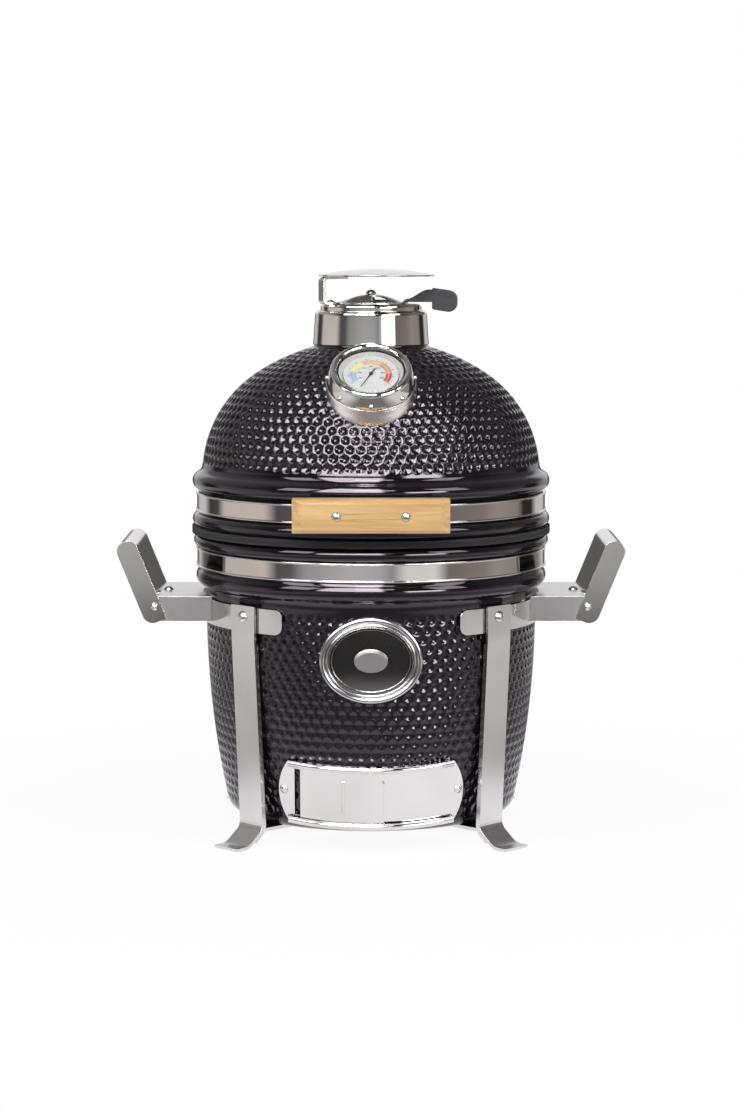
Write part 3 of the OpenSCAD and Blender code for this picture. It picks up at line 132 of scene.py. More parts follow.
def blend(tree, factor, first, second):
    made = add(tree, "Mix", {"data_type": "RGBA"}, {0: factor})
    for place, colour in ((6, first), (7, second)):
        if isinstance(colour, bpy.types.NodeSocket):
            tree.links.new(colour, made.inputs[place])
        else:
            made.inputs[place].default_value = (*colour, 1)
    return made.outputs[2]


def link(tree, value, shader, socket):
    tree.links.new(value, shader.inputs[socket])


def bump(tree, shader, height, strength, distance, edge=0):
    made = add(tree, "Bump", {}, {"Height": height, "Strength": strength, "Distance": distance})
    if edge:
        rounded = add(tree, "Bevel", {"samples": 4}, {"Radius": edge})
        tree.links.new(rounded.outputs[0], made.inputs["Normal"])
    link(tree, made.outputs[0], shader, "Normal")


def ray_kinds(tree):
    """Two sockets: a ray off a glossy face, and a ray straight from the camera or through glass."""
    path = add(tree, "LightPath")
    direct = worked(tree, "MAXIMUM", path.outputs["Is Camera Ray"], path.outputs["Is Transmission Ray"])
    return path.outputs["Is Glossy Ray"], direct


# Materials
SCRATCHES = 0.05
SCRATCH_DEPTH = 0.2 * MM
EDGE_ROUND = 0.4 * MM
# Painted shade for the fasteners' recesses: how far it reaches and its dark colour
SHADE_REACH = 3 * MM
RECESS_SHADE_COLOUR = (0.02, 0.018, 0.017)
MIDDLE = (0, 0, 0.25)
FACING_IN, FACING_OUT = -0.012, -0.004
CLAY_ROUGHNESS = 0.85
PRINT_GRAIN = 260


def steel(name, dark, light, roughness, grain, scratches=0.0):
    """Metal with clouds in its colour, gloss that varies along the grain, and softened edges."""
    made, tree, shader = material(name, Metallic=1.0)
    fine = noise(tree, grain, 4.0, 0.65)
    cloud = noise(tree, even(9), 2.0)
    link(tree, blend(tree, between(tree, cloud, 0, 1), dark, light), shader, "Base Color")
    link(tree, between(tree, fine, *roughness), shader, "Roughness")
    bump(tree, shader, fine, scratches, SCRATCH_DEPTH, EDGE_ROUND)
    return made


def shadowed(made):
    """Painted shade in recesses: the base colour is darker where little light gets in."""
    tree = made.node_tree
    shader = tree.nodes["Principled BSDF"]
    plain = shader.inputs["Base Color"].links[0].from_socket
    open_share = add(tree, "AmbientOcclusion", {"samples": 8}, {"Distance": SHADE_REACH}).outputs["AO"]
    # Painted shade: the base colour turns darker where ambient occlusion finds the recess closed in
    painted_shade = blend(tree, between(tree, open_share, 1, 0, 0.35, 0.75), plain, RECESS_SHADE_COLOUR)
    link(tree, painted_shade, shader, "Base Color")
    return made


def make_glaze():
    """Glossy black glaze outside, bare smoked clay on faces that look in towards the middle."""
    made, tree, shader = material("glaze", IOR=1.52, Specular_Tint=(1.0, 0.9, 1.0, 1))
    place = add(tree, "TexCoord")
    from_middle = worked_vectors(tree, "SUBTRACT", place.outputs["Object"], MIDDLE, "Vector")
    facing = worked_vectors(tree, "DOT_PRODUCT", from_middle, place.outputs["Normal"], "Value")
    inside = between(tree, facing, 1, 0, FACING_IN, FACING_OUT)
    cloud = noise(tree, even(55), 4.0)
    speck = noise(tree, even(900), 2.0)
    glazed = blend(tree, between(tree, cloud, 0, 1), (0.005, 0.0044, 0.0056), (0.011, 0.0095, 0.0125))
    smoked = blend(tree, between(tree, cloud, 0, 1), (0.2, 0.165, 0.13), (0.33, 0.28, 0.225))
    link(tree, blend(tree, inside, glazed, smoked), shader, "Base Color")
    gloss = add(tree, "Mix", {}, {0: inside, 2: between(tree, cloud, 0.03, 0.07), 3: CLAY_ROUGHNESS})
    link(tree, gloss.outputs[0], shader, "Roughness")
    bump(tree, shader, speck, 0.05, 0.3 * MM)
    return made


def make_bamboo():
    """Pale strips along the bar, with darker fibres in them."""
    made, tree, shader = material("bamboo", IOR=1.45, Coat_Weight=0.25, Coat_Roughness=0.25)
    fibre = noise(tree, (9, 380, 380), 5.0, 0.7)
    strip = noise(tree, (2.5, 60, 95), 1.0, 0.4)
    ground = blend(tree, between(tree, strip, 0, 1, 0.35, 0.65), (0.68, 0.42, 0.175), (0.78, 0.52, 0.25))
    grained = blend(tree, between(tree, fibre, 0, 0.8, 0.46, 0.76), ground, (0.44, 0.22, 0.065))
    link(tree, grained, shader, "Base Color")
    link(tree, between(tree, fibre, 0.38, 0.55), shader, "Roughness")
    bump(tree, shader, fibre, 0.12, 0.3 * MM)
    return made


def rough_matter(name, dark, light, grain, roughness, strength, depth):
    """Clay, iron, felt or plastic: clouds of one size in its colour, its gloss and its surface."""
    made, tree, shader = material(name)
    cloud = noise(tree, even(grain), 6.0, 0.65)
    link(tree, blend(tree, between(tree, cloud, 0, 1), dark, light), shader, "Base Color")
    link(tree, between(tree, cloud, *roughness), shader, "Roughness")
    bump(tree, shader, cloud, strength, depth)
    return made


def tinted(name, dark, light, rough=0.4):
    """Paint or ink on the dial."""
    return rough_matter(name, dark, light, PRINT_GRAIN, (rough, rough + 0.15), 0.02, 0.1 * MM)


def make_glass():
    """Clear glass that lets light through to the dial without a shadow."""
    made, tree, shader = material("dial_glass", Roughness=0.02, IOR=1.3, Transmission_Weight=1.0)
    haze = noise(tree, even(70), 2.0)
    link(tree, blend(tree, between(tree, haze, 0, 1), (0.97, 0.985, 0.98), (1, 1, 1)), shader, "Base Color")
    shadow_ray = add(tree, "LightPath").outputs["Is Shadow Ray"]
    shown = mixed(tree, shadow_ray, shader, add(tree, "BsdfTransparent"))
    tree.links.new(shown.outputs[0], tree.nodes["Material Output"].inputs["Surface"])
    return made


# One finish for each of the record's material slots
BRUSHED = ((0.55, 0.54, 0.525), (0.66, 0.65, 0.635), (0.25, 0.275))
finish = {
    "glaze": make_glaze(),
    "fire_clay": rough_matter(
        "fire_clay", (0.42, 0.33, 0.24), (0.60, 0.50, 0.38), 60, (0.8, 0.95), 0.3, 0.6 * MM),
    "polished_steel": steel(
        "polished_steel", (0.56, 0.54, 0.52), (0.68, 0.66, 0.64), (0.04, 0.07), even(30)),
    "brushed_steel": steel("brushed_steel", *BRUSHED, (10, 10, 3500)),
    # The fasteners carry painted shade in their recesses
    "fasteners": shadowed(steel(
        "fasteners", (0.5, 0.49, 0.48), (0.66, 0.65, 0.64), (0.16, 0.28), even(300), SCRATCHES)),
    "grid_steel": steel(
        "grid_steel", (0.5, 0.49, 0.48), (0.62, 0.61, 0.6), (0.18, 0.3), even(200), SCRATCHES),
    "grate_iron": rough_matter(
        "grate_iron", (0.02, 0.019, 0.018), (0.05, 0.047, 0.044), 180, (0.55, 0.8), 0.4, 0.4 * MM),
    "felt": rough_matter(
        "felt", (0.008, 0.0076, 0.008), (0.02, 0.019, 0.02), 1300, (0.9, 1.0), 0.7, 0.6 * MM),
    "bamboo": make_bamboo(),
    "black_plastic": rough_matter(
        "black_plastic", (0.007, 0.0065, 0.008), (0.013, 0.012, 0.015), 420, (0.4, 0.55), 0.25, 0.2 * MM),
    "dial_face": tinted("dial_face", (0.4, 0.41, 0.41), (0.5, 0.51, 0.5)),
    "dial_glass": make_glass(),
}

# Steel pieces that are duller, darker or brushed another way than the rest of their slot, and a rougher, far
# lighter steel for the bezel foot whose lightness is painted light
satin_steel = steel("satin_steel", (0.42, 0.41, 0.405), (0.5, 0.49, 0.485), (0.12, 0.18), even(30))
knob_steel = steel("knob_steel", (0.34, 0.33, 0.325), (0.4, 0.39, 0.385), (0.3, 0.34), even(90))
hoop_steel = steel("hoop_steel", (0.52, 0.51, 0.495), (0.62, 0.61, 0.595), (0.1, 0.15), even(30))
grip_steel = steel("grip_steel", (0.54, 0.525, 0.5), (0.64, 0.625, 0.6), (0.09, 0.14), even(30))
# Painted light: the bezel foot's steel is much lighter than steel's own colour, standing in for the light it
# catches
foot_steel_painted_light = steel("foot_steel_painted_light", (0.84, 0.8, 0.785), (0.93, 0.89, 0.875), (0.24, 0.32), even(60))
upright_steel = steel("upright_steel", *BRUSHED, (3500, 3500, 10))
own_finish = {"port_frame": satin_steel, "port_knob": knob_steel}
for side in ("left", "right"):
    own_finish["stand_hoop_" + side] = hoop_steel
    own_finish["handle_grip_" + side] = grip_steel
    own_finish["leg_front_" + side] = upright_steel
    own_finish["leg_rear_" + side] = upright_steel
for node_name, part in frame["nodes"].items():
    part.data.materials.clear()
    part.data.materials.append(own_finish.get(node_name, finish[slot_of[node_name]]))


# Geometry helpers
WELD = 1e-6


def mesh_object(name, points, faces):
    mesh = bpy.data.meshes.new(name)
    mesh.from_pydata([tuple(point) for point in points], [], faces)
    made = bpy.data.objects.new(name, mesh)
    scene.collection.objects.link(made)
    return made


def dress(made, look, body):
    made.data.materials.clear()
    made.data.materials.append(look)
    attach(made, body)
    return made


def build(name, points, faces, look, body):
    made = mesh_object(name, points, faces)
    made.data.validate()
    return dress(made, look, body)


def shaded(mesh, angle):
    """Smooth shading, apart from edges that are sharper than the angle."""
    mesh.shade_smooth()
    mesh.set_sharp_from_angle(angle=math.radians(angle))


def face_outwards(mesh):
    shape = bmesh.new()
    shape.from_mesh(mesh)
    bmesh.ops.recalc_face_normals(shape, faces=shape.faces)
    shape.to_mesh(mesh)
    shape.free()


def copy_of(node_name, new_name):
    """A welded copy of a CAD node's mesh, as a new object."""
    mesh = frame["nodes"][node_name].data.copy()
    shape = bmesh.new()
    shape.from_mesh(mesh)
    bmesh.ops.remove_doubles(shape, verts=shape.verts, dist=WELD)
    shape.to_mesh(mesh)
    shape.free()
    for layer in ("custom_normal", "sharp_edge", "sharp_face"):
        if layer in mesh.attributes:
            mesh.attributes.remove(mesh.attributes[layer])
    mesh.name = new_name
    made = bpy.data.objects.new(new_name, mesh)
    scene.collection.objects.link(made)
    return made


def apply_modifiers(made):
    bpy.context.view_layer.update()
    seen = made.evaluated_get(bpy.context.evaluated_depsgraph_get())
    mesh = bpy.data.meshes.new_from_object(seen)
    made.modifiers.clear()
    old = made.data
    made.data = mesh
    mesh.name = made.name
    bpy.data.meshes.remove(old)


def combine(made, cutter, operation, solver="MANIFOLD", overlapping=False):
    """Cuts or trims a piece with a cutter, which is used up."""
    boolean = made.modifiers.new("cut", "BOOLEAN")
    boolean.operation = operation
    boolean.object = cutter
    boolean.solver = solver
    boolean.use_self = overlapping
    apply_modifiers(made)
    mesh = cutter.data
    bpy.data.objects.remove(cutter)
    bpy.data.meshes.remove(mesh)


# Dimpled ceramic: a skin of round cups spread over the lathe's profile, cut with the plain shell
PITCH = 9.6 * MM
ROW = 0.87 * PITCH
REACH = 1.06 * PITCH
ROUNDS = 40
NEIGHBOURS = 8
PUSH_SHARE = 0.25
ROW_JITTER = 0.15
SIZE_RANGE = (0.94, 1.05)
CUP_R = 4.55 * MM
BELLY_CUP = 1.3 * MM
DOME_CUP = 2.2 * MM
CUP_ROUND = 0.25
CUP_RINGS = ((0.32, 8), (0.68, 12), (1.0, 16))
LEAST_GAP = 0.5 * MM
SINK = 0.25 * MM
RAMP = 2.5 * MM
MARGIN = RAMP + CUP_R
STEP = 1.45 * MM
SEAM = 1e-6
MERGE = 1e-9
CERAMIC_ANGLE = 78


def arc_points(centre, radius, start, end, step):
    """Places along an arc of the profile, each with its outward direction."""
    count = max(2, round(abs(math.radians(end - start)) * radius / step))
    made = []
    for i in range(count + 1):
        turn = math.radians(start + (end - start) * i / count)
        out = Vector((math.cos(turn), math.sin(turn)))
        made.append((Vector(centre) + radius * out, out))
    return made


def look_up(known, values, at):
    """The value at a place between two known ones."""
    i = min(max(bisect.bisect_left(known, at), 1), len(known) - 1)
    share = (at - known[i - 1]) / (known[i] - known[i - 1])
    return values[i - 1] + (values[i] - values[i - 1]) * share


def turned(flat, turn):
    """A place of the profile, radius and height, turned about the axis from the back."""
    return Vector((-flat.x * math.sin(turn), flat.x * math.cos(turn), flat.y))


def near_tree(places):
    tree = kdtree.KDTree(len(places))
    for i, place in enumerate(places):
        tree.insert(place, i)
    tree.balance()
    return tree


def spread(lengths, flats, spots):
    """Pushes the cups apart once, along the profile and round it."""
    places = [turned(look_up(lengths, flats, at), turn) for at, turn in spots]
    tree = near_tree(places)
    for spot, place in zip(spots, places):
        push = Vector()
        for other, _, gap in tree.find_n(place, NEIGHBOURS)[1:]:
            if gap < REACH:
                push += (place - other) * (REACH / gap - 1)
        at, turn = spot
        up = turned(look_up(lengths, flats, at + MM) - look_up(lengths, flats, at - MM), turn)
        around = Vector((-math.cos(turn), -math.sin(turn), 0))
        moved = at + PUSH_SHARE * push.dot(up.normalized())
        spot[0] = min(max(moved, MARGIN), lengths[-1] - MARGIN)
        spot[1] = turn + PUSH_SHARE * push.dot(around) / place.xy.length


def cup_centres(lengths, flats, seed):
    """Each cup as its length along the profile, its turn and its size."""
    chance = random.Random(seed)
    rows = round((lengths[-1] - 2 * MARGIN) / ROW)
    spots = []
    for row in range(rows + 1):
        at = MARGIN + (lengths[-1] - 2 * MARGIN) * row / rows
        count = round(FULL * look_up(lengths, flats, at).x / PITCH)
        first = chance.random()
        for i in range(count):
            spots.append([at, FULL * (i + first + chance.uniform(-ROW_JITTER, ROW_JITTER)) / count])
    for _ in range(ROUNDS):
        spread(lengths, flats, spots)
    return [(at, turn % FULL, chance.uniform(*SIZE_RANGE)) for at, turn in spots]


def hollow(share):
    """A cup's depth, from one in its middle to zero at its rim."""
    steep = math.hypot(1, CUP_ROUND) - CUP_ROUND
    return max(0.0, 1 - (math.hypot(share, CUP_ROUND) - CUP_ROUND) / steep)


def net_places(lengths, flats, heights, cups, columns):
    """Points of the unrolled skin, as turn and even-angled height: edges, seam and cup rings."""
    end = lengths[-1]
    made = []
    for at in (0, RAMP / 2, RAMP, end - RAMP, end - RAMP / 2, end):
        made += [(FULL * i / columns, look_up(lengths, heights, at)) for i in range(columns + 1)]
    for i in range(1, round(end / STEP)):
        at = end * i / round(end / STEP)
        if RAMP < at < end - RAMP:
            made += [(side, look_up(lengths, heights, at)) for side in (0, FULL)]
    lowest = look_up(lengths, heights, RAMP)
    highest = look_up(lengths, heights, end - RAMP)
    taken = set()
    for at, turn, size in cups:
        radius = look_up(lengths, flats, at).x
        height = look_up(lengths, heights, at)
        ring = [(turn, height)]
        for share, count in CUP_RINGS:
            wide = share * CUP_R * size / radius
            for i in range(count):
                angle = FULL * i / count
                ring.append(((turn + wide * math.cos(angle)) % FULL, height + wide * math.sin(angle)))
        edge = LEAST_GAP / radius
        for x, y in ring:
            key = (round(x / edge), round(y / edge))
            inside = lowest + edge < y < highest - edge
            if inside and edge < x < FULL - edge and key not in taken:
                taken.add(key)
                made.append((x, y))
    return [Vector(place) for place in made]


def dimpled_plug(name, line, deep, columns, below, above, seed):
    """A closed solid: the dimpled skin along the line, with plain rings below and above it."""
    flats = [place for place, _ in line]
    outs = [out for _, out in line]
    lengths, heights = [0.0], [0.0]
    for a, b in zip(flats, flats[1:]):
        lengths.append(lengths[-1] + (b - a).length)
        heights.append(heights[-1] + (b - a).length * 2 / (a.x + b.x))
    cups = cup_centres(lengths, flats, seed)
    tree = near_tree([turned(look_up(lengths, flats, at), turn) for at, turn, _ in cups])
    places = net_places(lengths, flats, heights, cups, columns)
    net, _, cells, _, _, _ = delaunay_2d_cdt(places, [], [], 0, MERGE)
    points, index, seam = [], {}, {}
    for i in sorted(range(len(net)), key=lambda i: (round(net[i].y, 7), net[i].x)):
        turn, height = net[i]
        if turn > FULL - SEAM:
            index[i] = seam[round(height, 6)]
            continue
        at = look_up(heights, lengths, height)
        edge = min(at, lengths[-1] - at)
        spot = turned(look_up(lengths, flats, at), turn)
        _, cup, gap = tree.find(spot)
        size = cups[cup][2]
        push = -SINK + max(0.0, 1 - edge / RAMP) * 2 * SINK - deep * size * hollow(gap / (CUP_R * size))
        index[i] = len(points)
        if turn < SEAM:
            seam[round(height, 6)] = index[i]
        points.append(spot + turned(look_up(lengths, outs, at) * push, turn))
    faces = [[index[i] for i in cell] for cell in cells]
    rings = [list(range(columns)), list(range(len(points) - columns, len(points)))]
    for radius, height in reversed(below):
        rings.insert(0, list(range(len(points), len(points) + columns)))
        points += [turned(Vector((radius, height)), FULL * i / columns) for i in range(columns)]
    for radius, height in above:
        rings.append(list(range(len(points), len(points) + columns)))
        points += [turned(Vector((radius, height)), FULL * i / columns) for i in range(columns)]
    for k, (a, b) in enumerate(zip(rings, rings[1:])):
        if k != len(below):
            faces += [(a[i], a[(i + 1) % columns], b[(i + 1) % columns], b[i]) for i in range(columns)]
    faces += [tuple(reversed(rings[0])), tuple(rings[-1])]
    return mesh_object(name, points, faces)


def dimpled(node_name, line, deep, columns, below, above, body, seed):
    made = copy_of(node_name, node_name + "_dimpled")
    combine(made, dimpled_plug("plug", line, deep, columns, below, above, seed), "INTERSECT")
    shaded(made.data, CERAMIC_ANGLE)
    dress(made, finish["glaze"], body)
    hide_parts(node_name)


# Base: the belly's arc and the straight neck above it, inside rings that clear the rest of the shell
BELLY_C, BELLY_R, BELLY_START = (-670 * MM, 200 * MM), 820 * MM, -12.3
WAIST_R, WAIST_Z, NECK_RISE = 150 * MM, 200 * MM, 13.7
NECK_SHARES = (0.11, 0.22, 0.33, 0.44, 0.55, 0.66, 0.77, 0.88)
BASE_COLUMNS, BASE_SEED = 640, 3
CLEAR_R = 175 * MM
base_line = arc_points(BELLY_C, BELLY_R, BELLY_START, 0, STEP)
for share in NECK_SHARES:
    base_line.append((Vector((WAIST_R, WAIST_Z + share * NECK_RISE * MM)), Vector((1, 0))))
lowest = base_line[0][0]
base_below = [(100 * MM, 0), (lowest.x + 6 * MM, 12 * MM), (lowest.x + 3 * MM, lowest.y - 2 * MM)]
base_above = [(CLEAR_R, 216 * MM), (CLEAR_R, 300 * MM)]
dimpled("base_shell", base_line, BELLY_CUP, BASE_COLUMNS, base_below, base_above, "base", BASE_SEED)

# Lid: the shoulder's arc and the crown's, which meet at one angle
SHOULDER_C, SHOULDER_R, SHOULDER_START = (43.3 * MM, 322 * MM), 110 * MM, 4.6
CROWN_C, CROWN_R, CROWN_END = (0, 254.731 * MM), 190 * MM, 73.9
MEETING = 57.2312
LID_COLUMNS, LID_SEED = 620, 8
shoulder = arc_points(SHOULDER_C, SHOULDER_R, SHOULDER_START, MEETING, STEP)
crown = arc_points(CROWN_C, CROWN_R, MEETING, CROWN_END, STEP)
lid_line = shoulder + crown[1:]
lid_below = [(CLEAR_R, 250 * MM), (CLEAR_R, 327 * MM)]
lid_above = [(lid_line[-1][0].x - 0.2 * MM, 440 * MM), (52.2 * MM, 500 * MM)]
dimpled("lid_dome", lid_line, DOME_CUP, LID_COLUMNS, lid_below, lid_above, "lid", LID_SEED)


# Thin trim
TRIM_ANGLE = 40


def swept(name, stations, profile, look, body, ring):
    """A closed band that carries a profile of points, sideways and outwards, past each station."""
    points, faces = [], []
    for i, (place, side, out) in enumerate(stations):
        points += [place + side * (a * MM) + out * (b * MM) for a, b in profile(i)]
    count = len(points) // len(stations)
    for i in range(len(stations) if ring else len(stations) - 1):
        a, b = i * count, (i + 1) % len(stations) * count
        faces += [(a + k, a + (k + 1) % count, b + (k + 1) % count, b + k) for k in range(count)]
    if not ring:
        faces += [tuple(reversed(range(count))), tuple(range(len(points) - count, len(points)))]
    made = build(name, points, faces, look, body)
    face_outwards(made.data)
    shaded(made.data, TRIM_ANGLE)


# Feed port: a rolled outer bead and a thin inner one over the frame's ring
PORT_W, PORT_H, PORT_Y, PORT_Z = 89.5 / 2 * MM, 75 / 2 * MM, -151.02 * MM, 172 * MM
PORT_STEPS = 144
ROLLED = [
    (0, -0.6), (0.05, 0.3), (0.35, 1.2), (1.1, 1.85), (2.4, 2.15), (3.7, 1.85), (4.6, 1.2), (4.95, 0.3),
    (5.1, 0.1), (5.4, 0.1), (5.5, 0.4), (5.75, 1.2), (6.3, 1.55), (6.9, 1.55), (7.45, 1.2), (7.75, 0.3),
    (7.9, -0.6),
]
rim = []
for i in range(PORT_STEPS):
    angle = FULL * i / PORT_STEPS
    place = Vector((PORT_W * math.cos(angle), PORT_Y, PORT_Z + PORT_H * math.sin(angle)))
    inward = Vector((-math.cos(angle) / PORT_W, 0, -math.sin(angle) / PORT_H)).normalized()
    rim.append((place, inward, Vector((0, -1, 0))))
swept("port_rim", rim, lambda i: ROLLED, satin_steel, "base", True)


# Draft vent: rolled edges along the frame's two rails, which lie on a leaning cylinder
VENT_FRONT, VENT_Z, VENT_R, VENT_TILT = 135.977 * MM, 49 * MM, 138.343 * MM, math.radians(10.6114)
RAIL_OUT, RAIL_MID, RAIL_TURN, RAIL_STEPS = 4.1 * MM, 26.2 * MM, 30.5, 16
EDGE_W, EDGE_H, EDGE_SINK = 2.2, 1.5, 0.2
lean = Matrix.Rotation(VENT_TILT, 3, "X")


def on_vent(angle, proud, height):
    """A place on the vent's cylinder, with its directions up and out."""
    out = Vector((math.sin(angle), -math.cos(angle), 0))
    place = Vector((0, VENT_R, height)) + out * (VENT_R + proud)
    return lean @ place + Vector((0, -VENT_FRONT, VENT_Z)), lean @ Vector((0, 0, 1)), lean @ out


half_round = []
for degrees in range(-10, 191, 20):
    angle = math.radians(degrees)
    half_round.append((EDGE_W * math.cos(angle), EDGE_H * math.sin(angle) - EDGE_SINK))
for name, height in (("upper", RAIL_MID), ("lower", -RAIL_MID)):
    stations = []
    for i in range(-RAIL_STEPS, RAIL_STEPS + 1):
        stations.append(on_vent(math.radians(RAIL_TURN * i / RAIL_STEPS), RAIL_OUT, height))
    swept("draft_rail_" + name, stations, lambda i: half_round, finish["polished_steel"], "base",
          False)


# Bamboo handle with softened edges
SOFT_ANGLE = 35
bar = copy_of("lid_handle", "bamboo_bar")
rounding = bar.modifiers.new("round", "BEVEL")
rounding.width = 0.9 * MM
rounding.segments = 3
rounding.limit_method = "ANGLE"
rounding.angle_limit = math.radians(25)
apply_modifiers(bar)
shaded(bar.data, SOFT_ANGLE)
dress(bar, finish["bamboo"], "lid")
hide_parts("lid_handle")


# Screws with a cross recess in each head
BOX_CORNERS = ((-1, -1), (1, -1), (1, 1), (-1, 1))
BOX_FACES = ((3, 2, 1, 0), (4, 5, 6, 7), (0, 1, 5, 4), (1, 2, 6, 5), (2, 3, 7, 6), (3, 0, 4, 7))
HANDLE_HEAD_R = 4 * MM
HANDLE_CROSS_UP = Vector((0.35, 0, 1)).normalized()
HANDLE_CROSS = (2.6 * MM, 1.2 * MM, 1.9 * MM)
VENT_SCREW_X, VENT_SCREW_OUT = 76 * MM, 3.45 * MM
VENT_CROSS = (2.5 * MM, 1.1 * MM, 1.7 * MM)


def cross_recess(name, node_name, body, heads, cross):
    """Cuts two crossing slots into each head, given as its place and its directions out and up."""
    half, slot_w, depth = cross
    made = copy_of(node_name, name)
    points, faces = [], []
    for place, out, up in heads:
        side = out.cross(up)
        for a, b in ((half, slot_w / 2), (slot_w / 2, half)):
            start = len(points)
            for deep in (-depth, depth):
                points += [place + out * deep + side * (a * x) + up * (b * y) for x, y in BOX_CORNERS]
            faces += [[start + i for i in face] for face in BOX_FACES]
    combine(made, mesh_object("cross", points, faces), "DIFFERENCE", "EXACT", overlapping=True)
    shaded(made.data, SOFT_ANGLE)
    dress(made, finish["fasteners"], body)
    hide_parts(node_name)


screw_low, screw_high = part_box("handle_screws")
middle = (screw_low.z + screw_high.z) / 2
handle_heads = []
for x in (screw_low.x + HANDLE_HEAD_R, screw_high.x - HANDLE_HEAD_R):
    handle_heads.append((Vector((x, screw_low.y, middle)), Vector((0, -1, 0)), HANDLE_CROSS_UP))
cross_recess("handle_screws_cross", "handle_screws", "lid", handle_heads, HANDLE_CROSS)
vent_heads = []
for side in (-1, 1):
    place, up, out = on_vent(side * math.asin(VENT_SCREW_X / VENT_R), VENT_SCREW_OUT, 0)
    vent_heads.append((place, out, up))
cross_recess("draft_screws_cross", "draft_screws", "base", vent_heads, VENT_CROSS)


# Thermometer: directions along and across its axis, and the middle of its foot on the dome
TILT = math.radians(51.5)
AXIS = Vector((0, -math.cos(TILT), math.sin(TILT)))
UP = Vector((0, math.sin(TILT), math.cos(TILT)))
DIAL = Vector((0, -SHOULDER_C[0], SHOULDER_C[1])) + AXIS * SHOULDER_R
FACE = 11.45 * MM


def on_dial(x, y, height):
    return DIAL + Vector((x, 0, 0)) + UP * y + AXIS * (FACE + height)


# Foot of the bezel, drawn out below the dial where the dome falls away
BEZEL_R, BEZEL_WALL, BEZEL_STEPS = 39.45, 2.5, 120
FOOT = ((4.0, -0.8), (2.4, 0), (0, 0.12), (-2.5, 0.45), (-5, 0.75), (-8, 1.0), (-11.5, 1.12))
FLARE, FLARE_FALL = 3.4, 1.2


def bezel_foot(i):
    """The foot's profile at one station, as radius and height, flared most at the lowest one."""
    flare = FLARE * max(0.0, math.cos(FULL * i / BEZEL_STEPS)) ** FLARE_FALL
    outer = [(BEZEL_R + (flare * share if share > 0 else share), height) for height, share in FOOT]
    inner = BEZEL_R - BEZEL_WALL
    return outer + [(inner, FOOT[-1][0]), (inner, FOOT[0][0])]


round_dial = []
for i in range(BEZEL_STEPS):
    angle = FULL * i / BEZEL_STEPS
    round_dial.append((DIAL, Vector((math.sin(angle), 0, 0)) - UP * math.cos(angle), AXIS))
# The bezel foot is in the lighter steel, which is painted light
swept("bezel_foot", round_dial, bezel_foot, foot_steel_painted_light, "lid", True)

# Black seal round the glass
SEAL_R, SEAL_HEIGHT, SEAL_THICK, SEAL_SIDES = 28.8, 15.1, 0.75, 12
seal = []
for i in range(SEAL_SIDES):
    angle = FULL * i / SEAL_SIDES
    seal.append((SEAL_R + SEAL_THICK * math.cos(angle), SEAL_HEIGHT + SEAL_THICK * math.sin(angle)))
swept("glass_seal", round_dial, lambda i: seal, finish["black_plastic"], "lid", True)

# Needle: a slim blade on a small hub
NEEDLE_TURN, NEEDLE_LOW, NEEDLE_HIGH = math.radians(207), 0.7, 1.3
BLADE = ((0.14, 19), (0.36, 2), (0.5, -7.5), (-0.5, -7.5), (-0.36, 2), (-0.14, 19))
HUB_R, HUB_SIDES, HUB_BELOW, HUB_ABOVE = 1.7, 24, 0.05, 0.25
hub = []
for i in range(HUB_SIDES):
    angle = FULL * i / HUB_SIDES
    hub.append((HUB_R * math.cos(angle), HUB_R * math.sin(angle)))
points, faces = [], []
for outline, low, high in ((BLADE, NEEDLE_LOW, NEEDLE_HIGH),
                           (hub, NEEDLE_LOW - HUB_BELOW, NEEDLE_HIGH + HUB_ABOVE)):
    start, count = len(points), len(outline)
    for height in (low, high):
        for x, y in outline:
            across = x * math.cos(NEEDLE_TURN) + y * math.sin(NEEDLE_TURN)
            along = y * math.cos(NEEDLE_TURN) - x * math.sin(NEEDLE_TURN)
            points.append(on_dial(across * MM, along * MM, height * MM))
    faces += [tuple(range(start + count - 1, start - 1, -1)), tuple(range(start + count, start + 2 * count))]
    faces += [(start + k, start + (k + 1) % count, start + count + (k + 1) % count, start + count + k)
              for k in range(count)]
needle = build("needle_blade", points, faces, finish["black_plastic"], "needle")
face_outwards(needle.data)
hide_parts("thermometer_needle")


# Dial print: colour arcs, ticks and figures just above the dial's face, in degrees and millimetres
PRINT_START, PRINT_END, PRINT_LOW, SECTOR_STEP = -125, 128, -0.05, 4
INK_IN, INK_OUT, INK_HIGH, INK_GAP, INK_ROUGH = 12.8, 18.2, 0.1, 0.6, 0.5
TICKS, TICK_IN, TICK_HIGH = 28, 18.6, 0.08
LONG_TICK, SHORT_TICK = (20.4, 0.9), (19.6, 0.45)
LINE_IN, LINE_OUT, LINE_START, LINE_END, LINE_LOW, LINE_HIGH = 15.3, 15.6, -120, 122, 0.05, 0.14
FIGURES, FIGURE_STEP, FIGURE_START, FIGURE_SPAN = 7, 50, -118, 236
FIGURE_R, FIGURE_SIZE, FIGURE_HIGH = 10.2, 2.6, 0.06
INKS = (
    ("blue", PRINT_START, -80, (0.2, 0.28, 0.47), (0.27, 0.35, 0.52)),
    ("yellow", -80, -28, (0.52, 0.47, 0.14), (0.6, 0.55, 0.22)),
    ("tan", -28, 32, (0.5, 0.28, 0.16), (0.56, 0.35, 0.22)),
    ("orange", 32, 84, (0.42, 0.17, 0.1), (0.48, 0.22, 0.14)),
    ("red", 84, PRINT_END, (0.34, 0.04, 0.04), (0.42, 0.06, 0.05)),
)


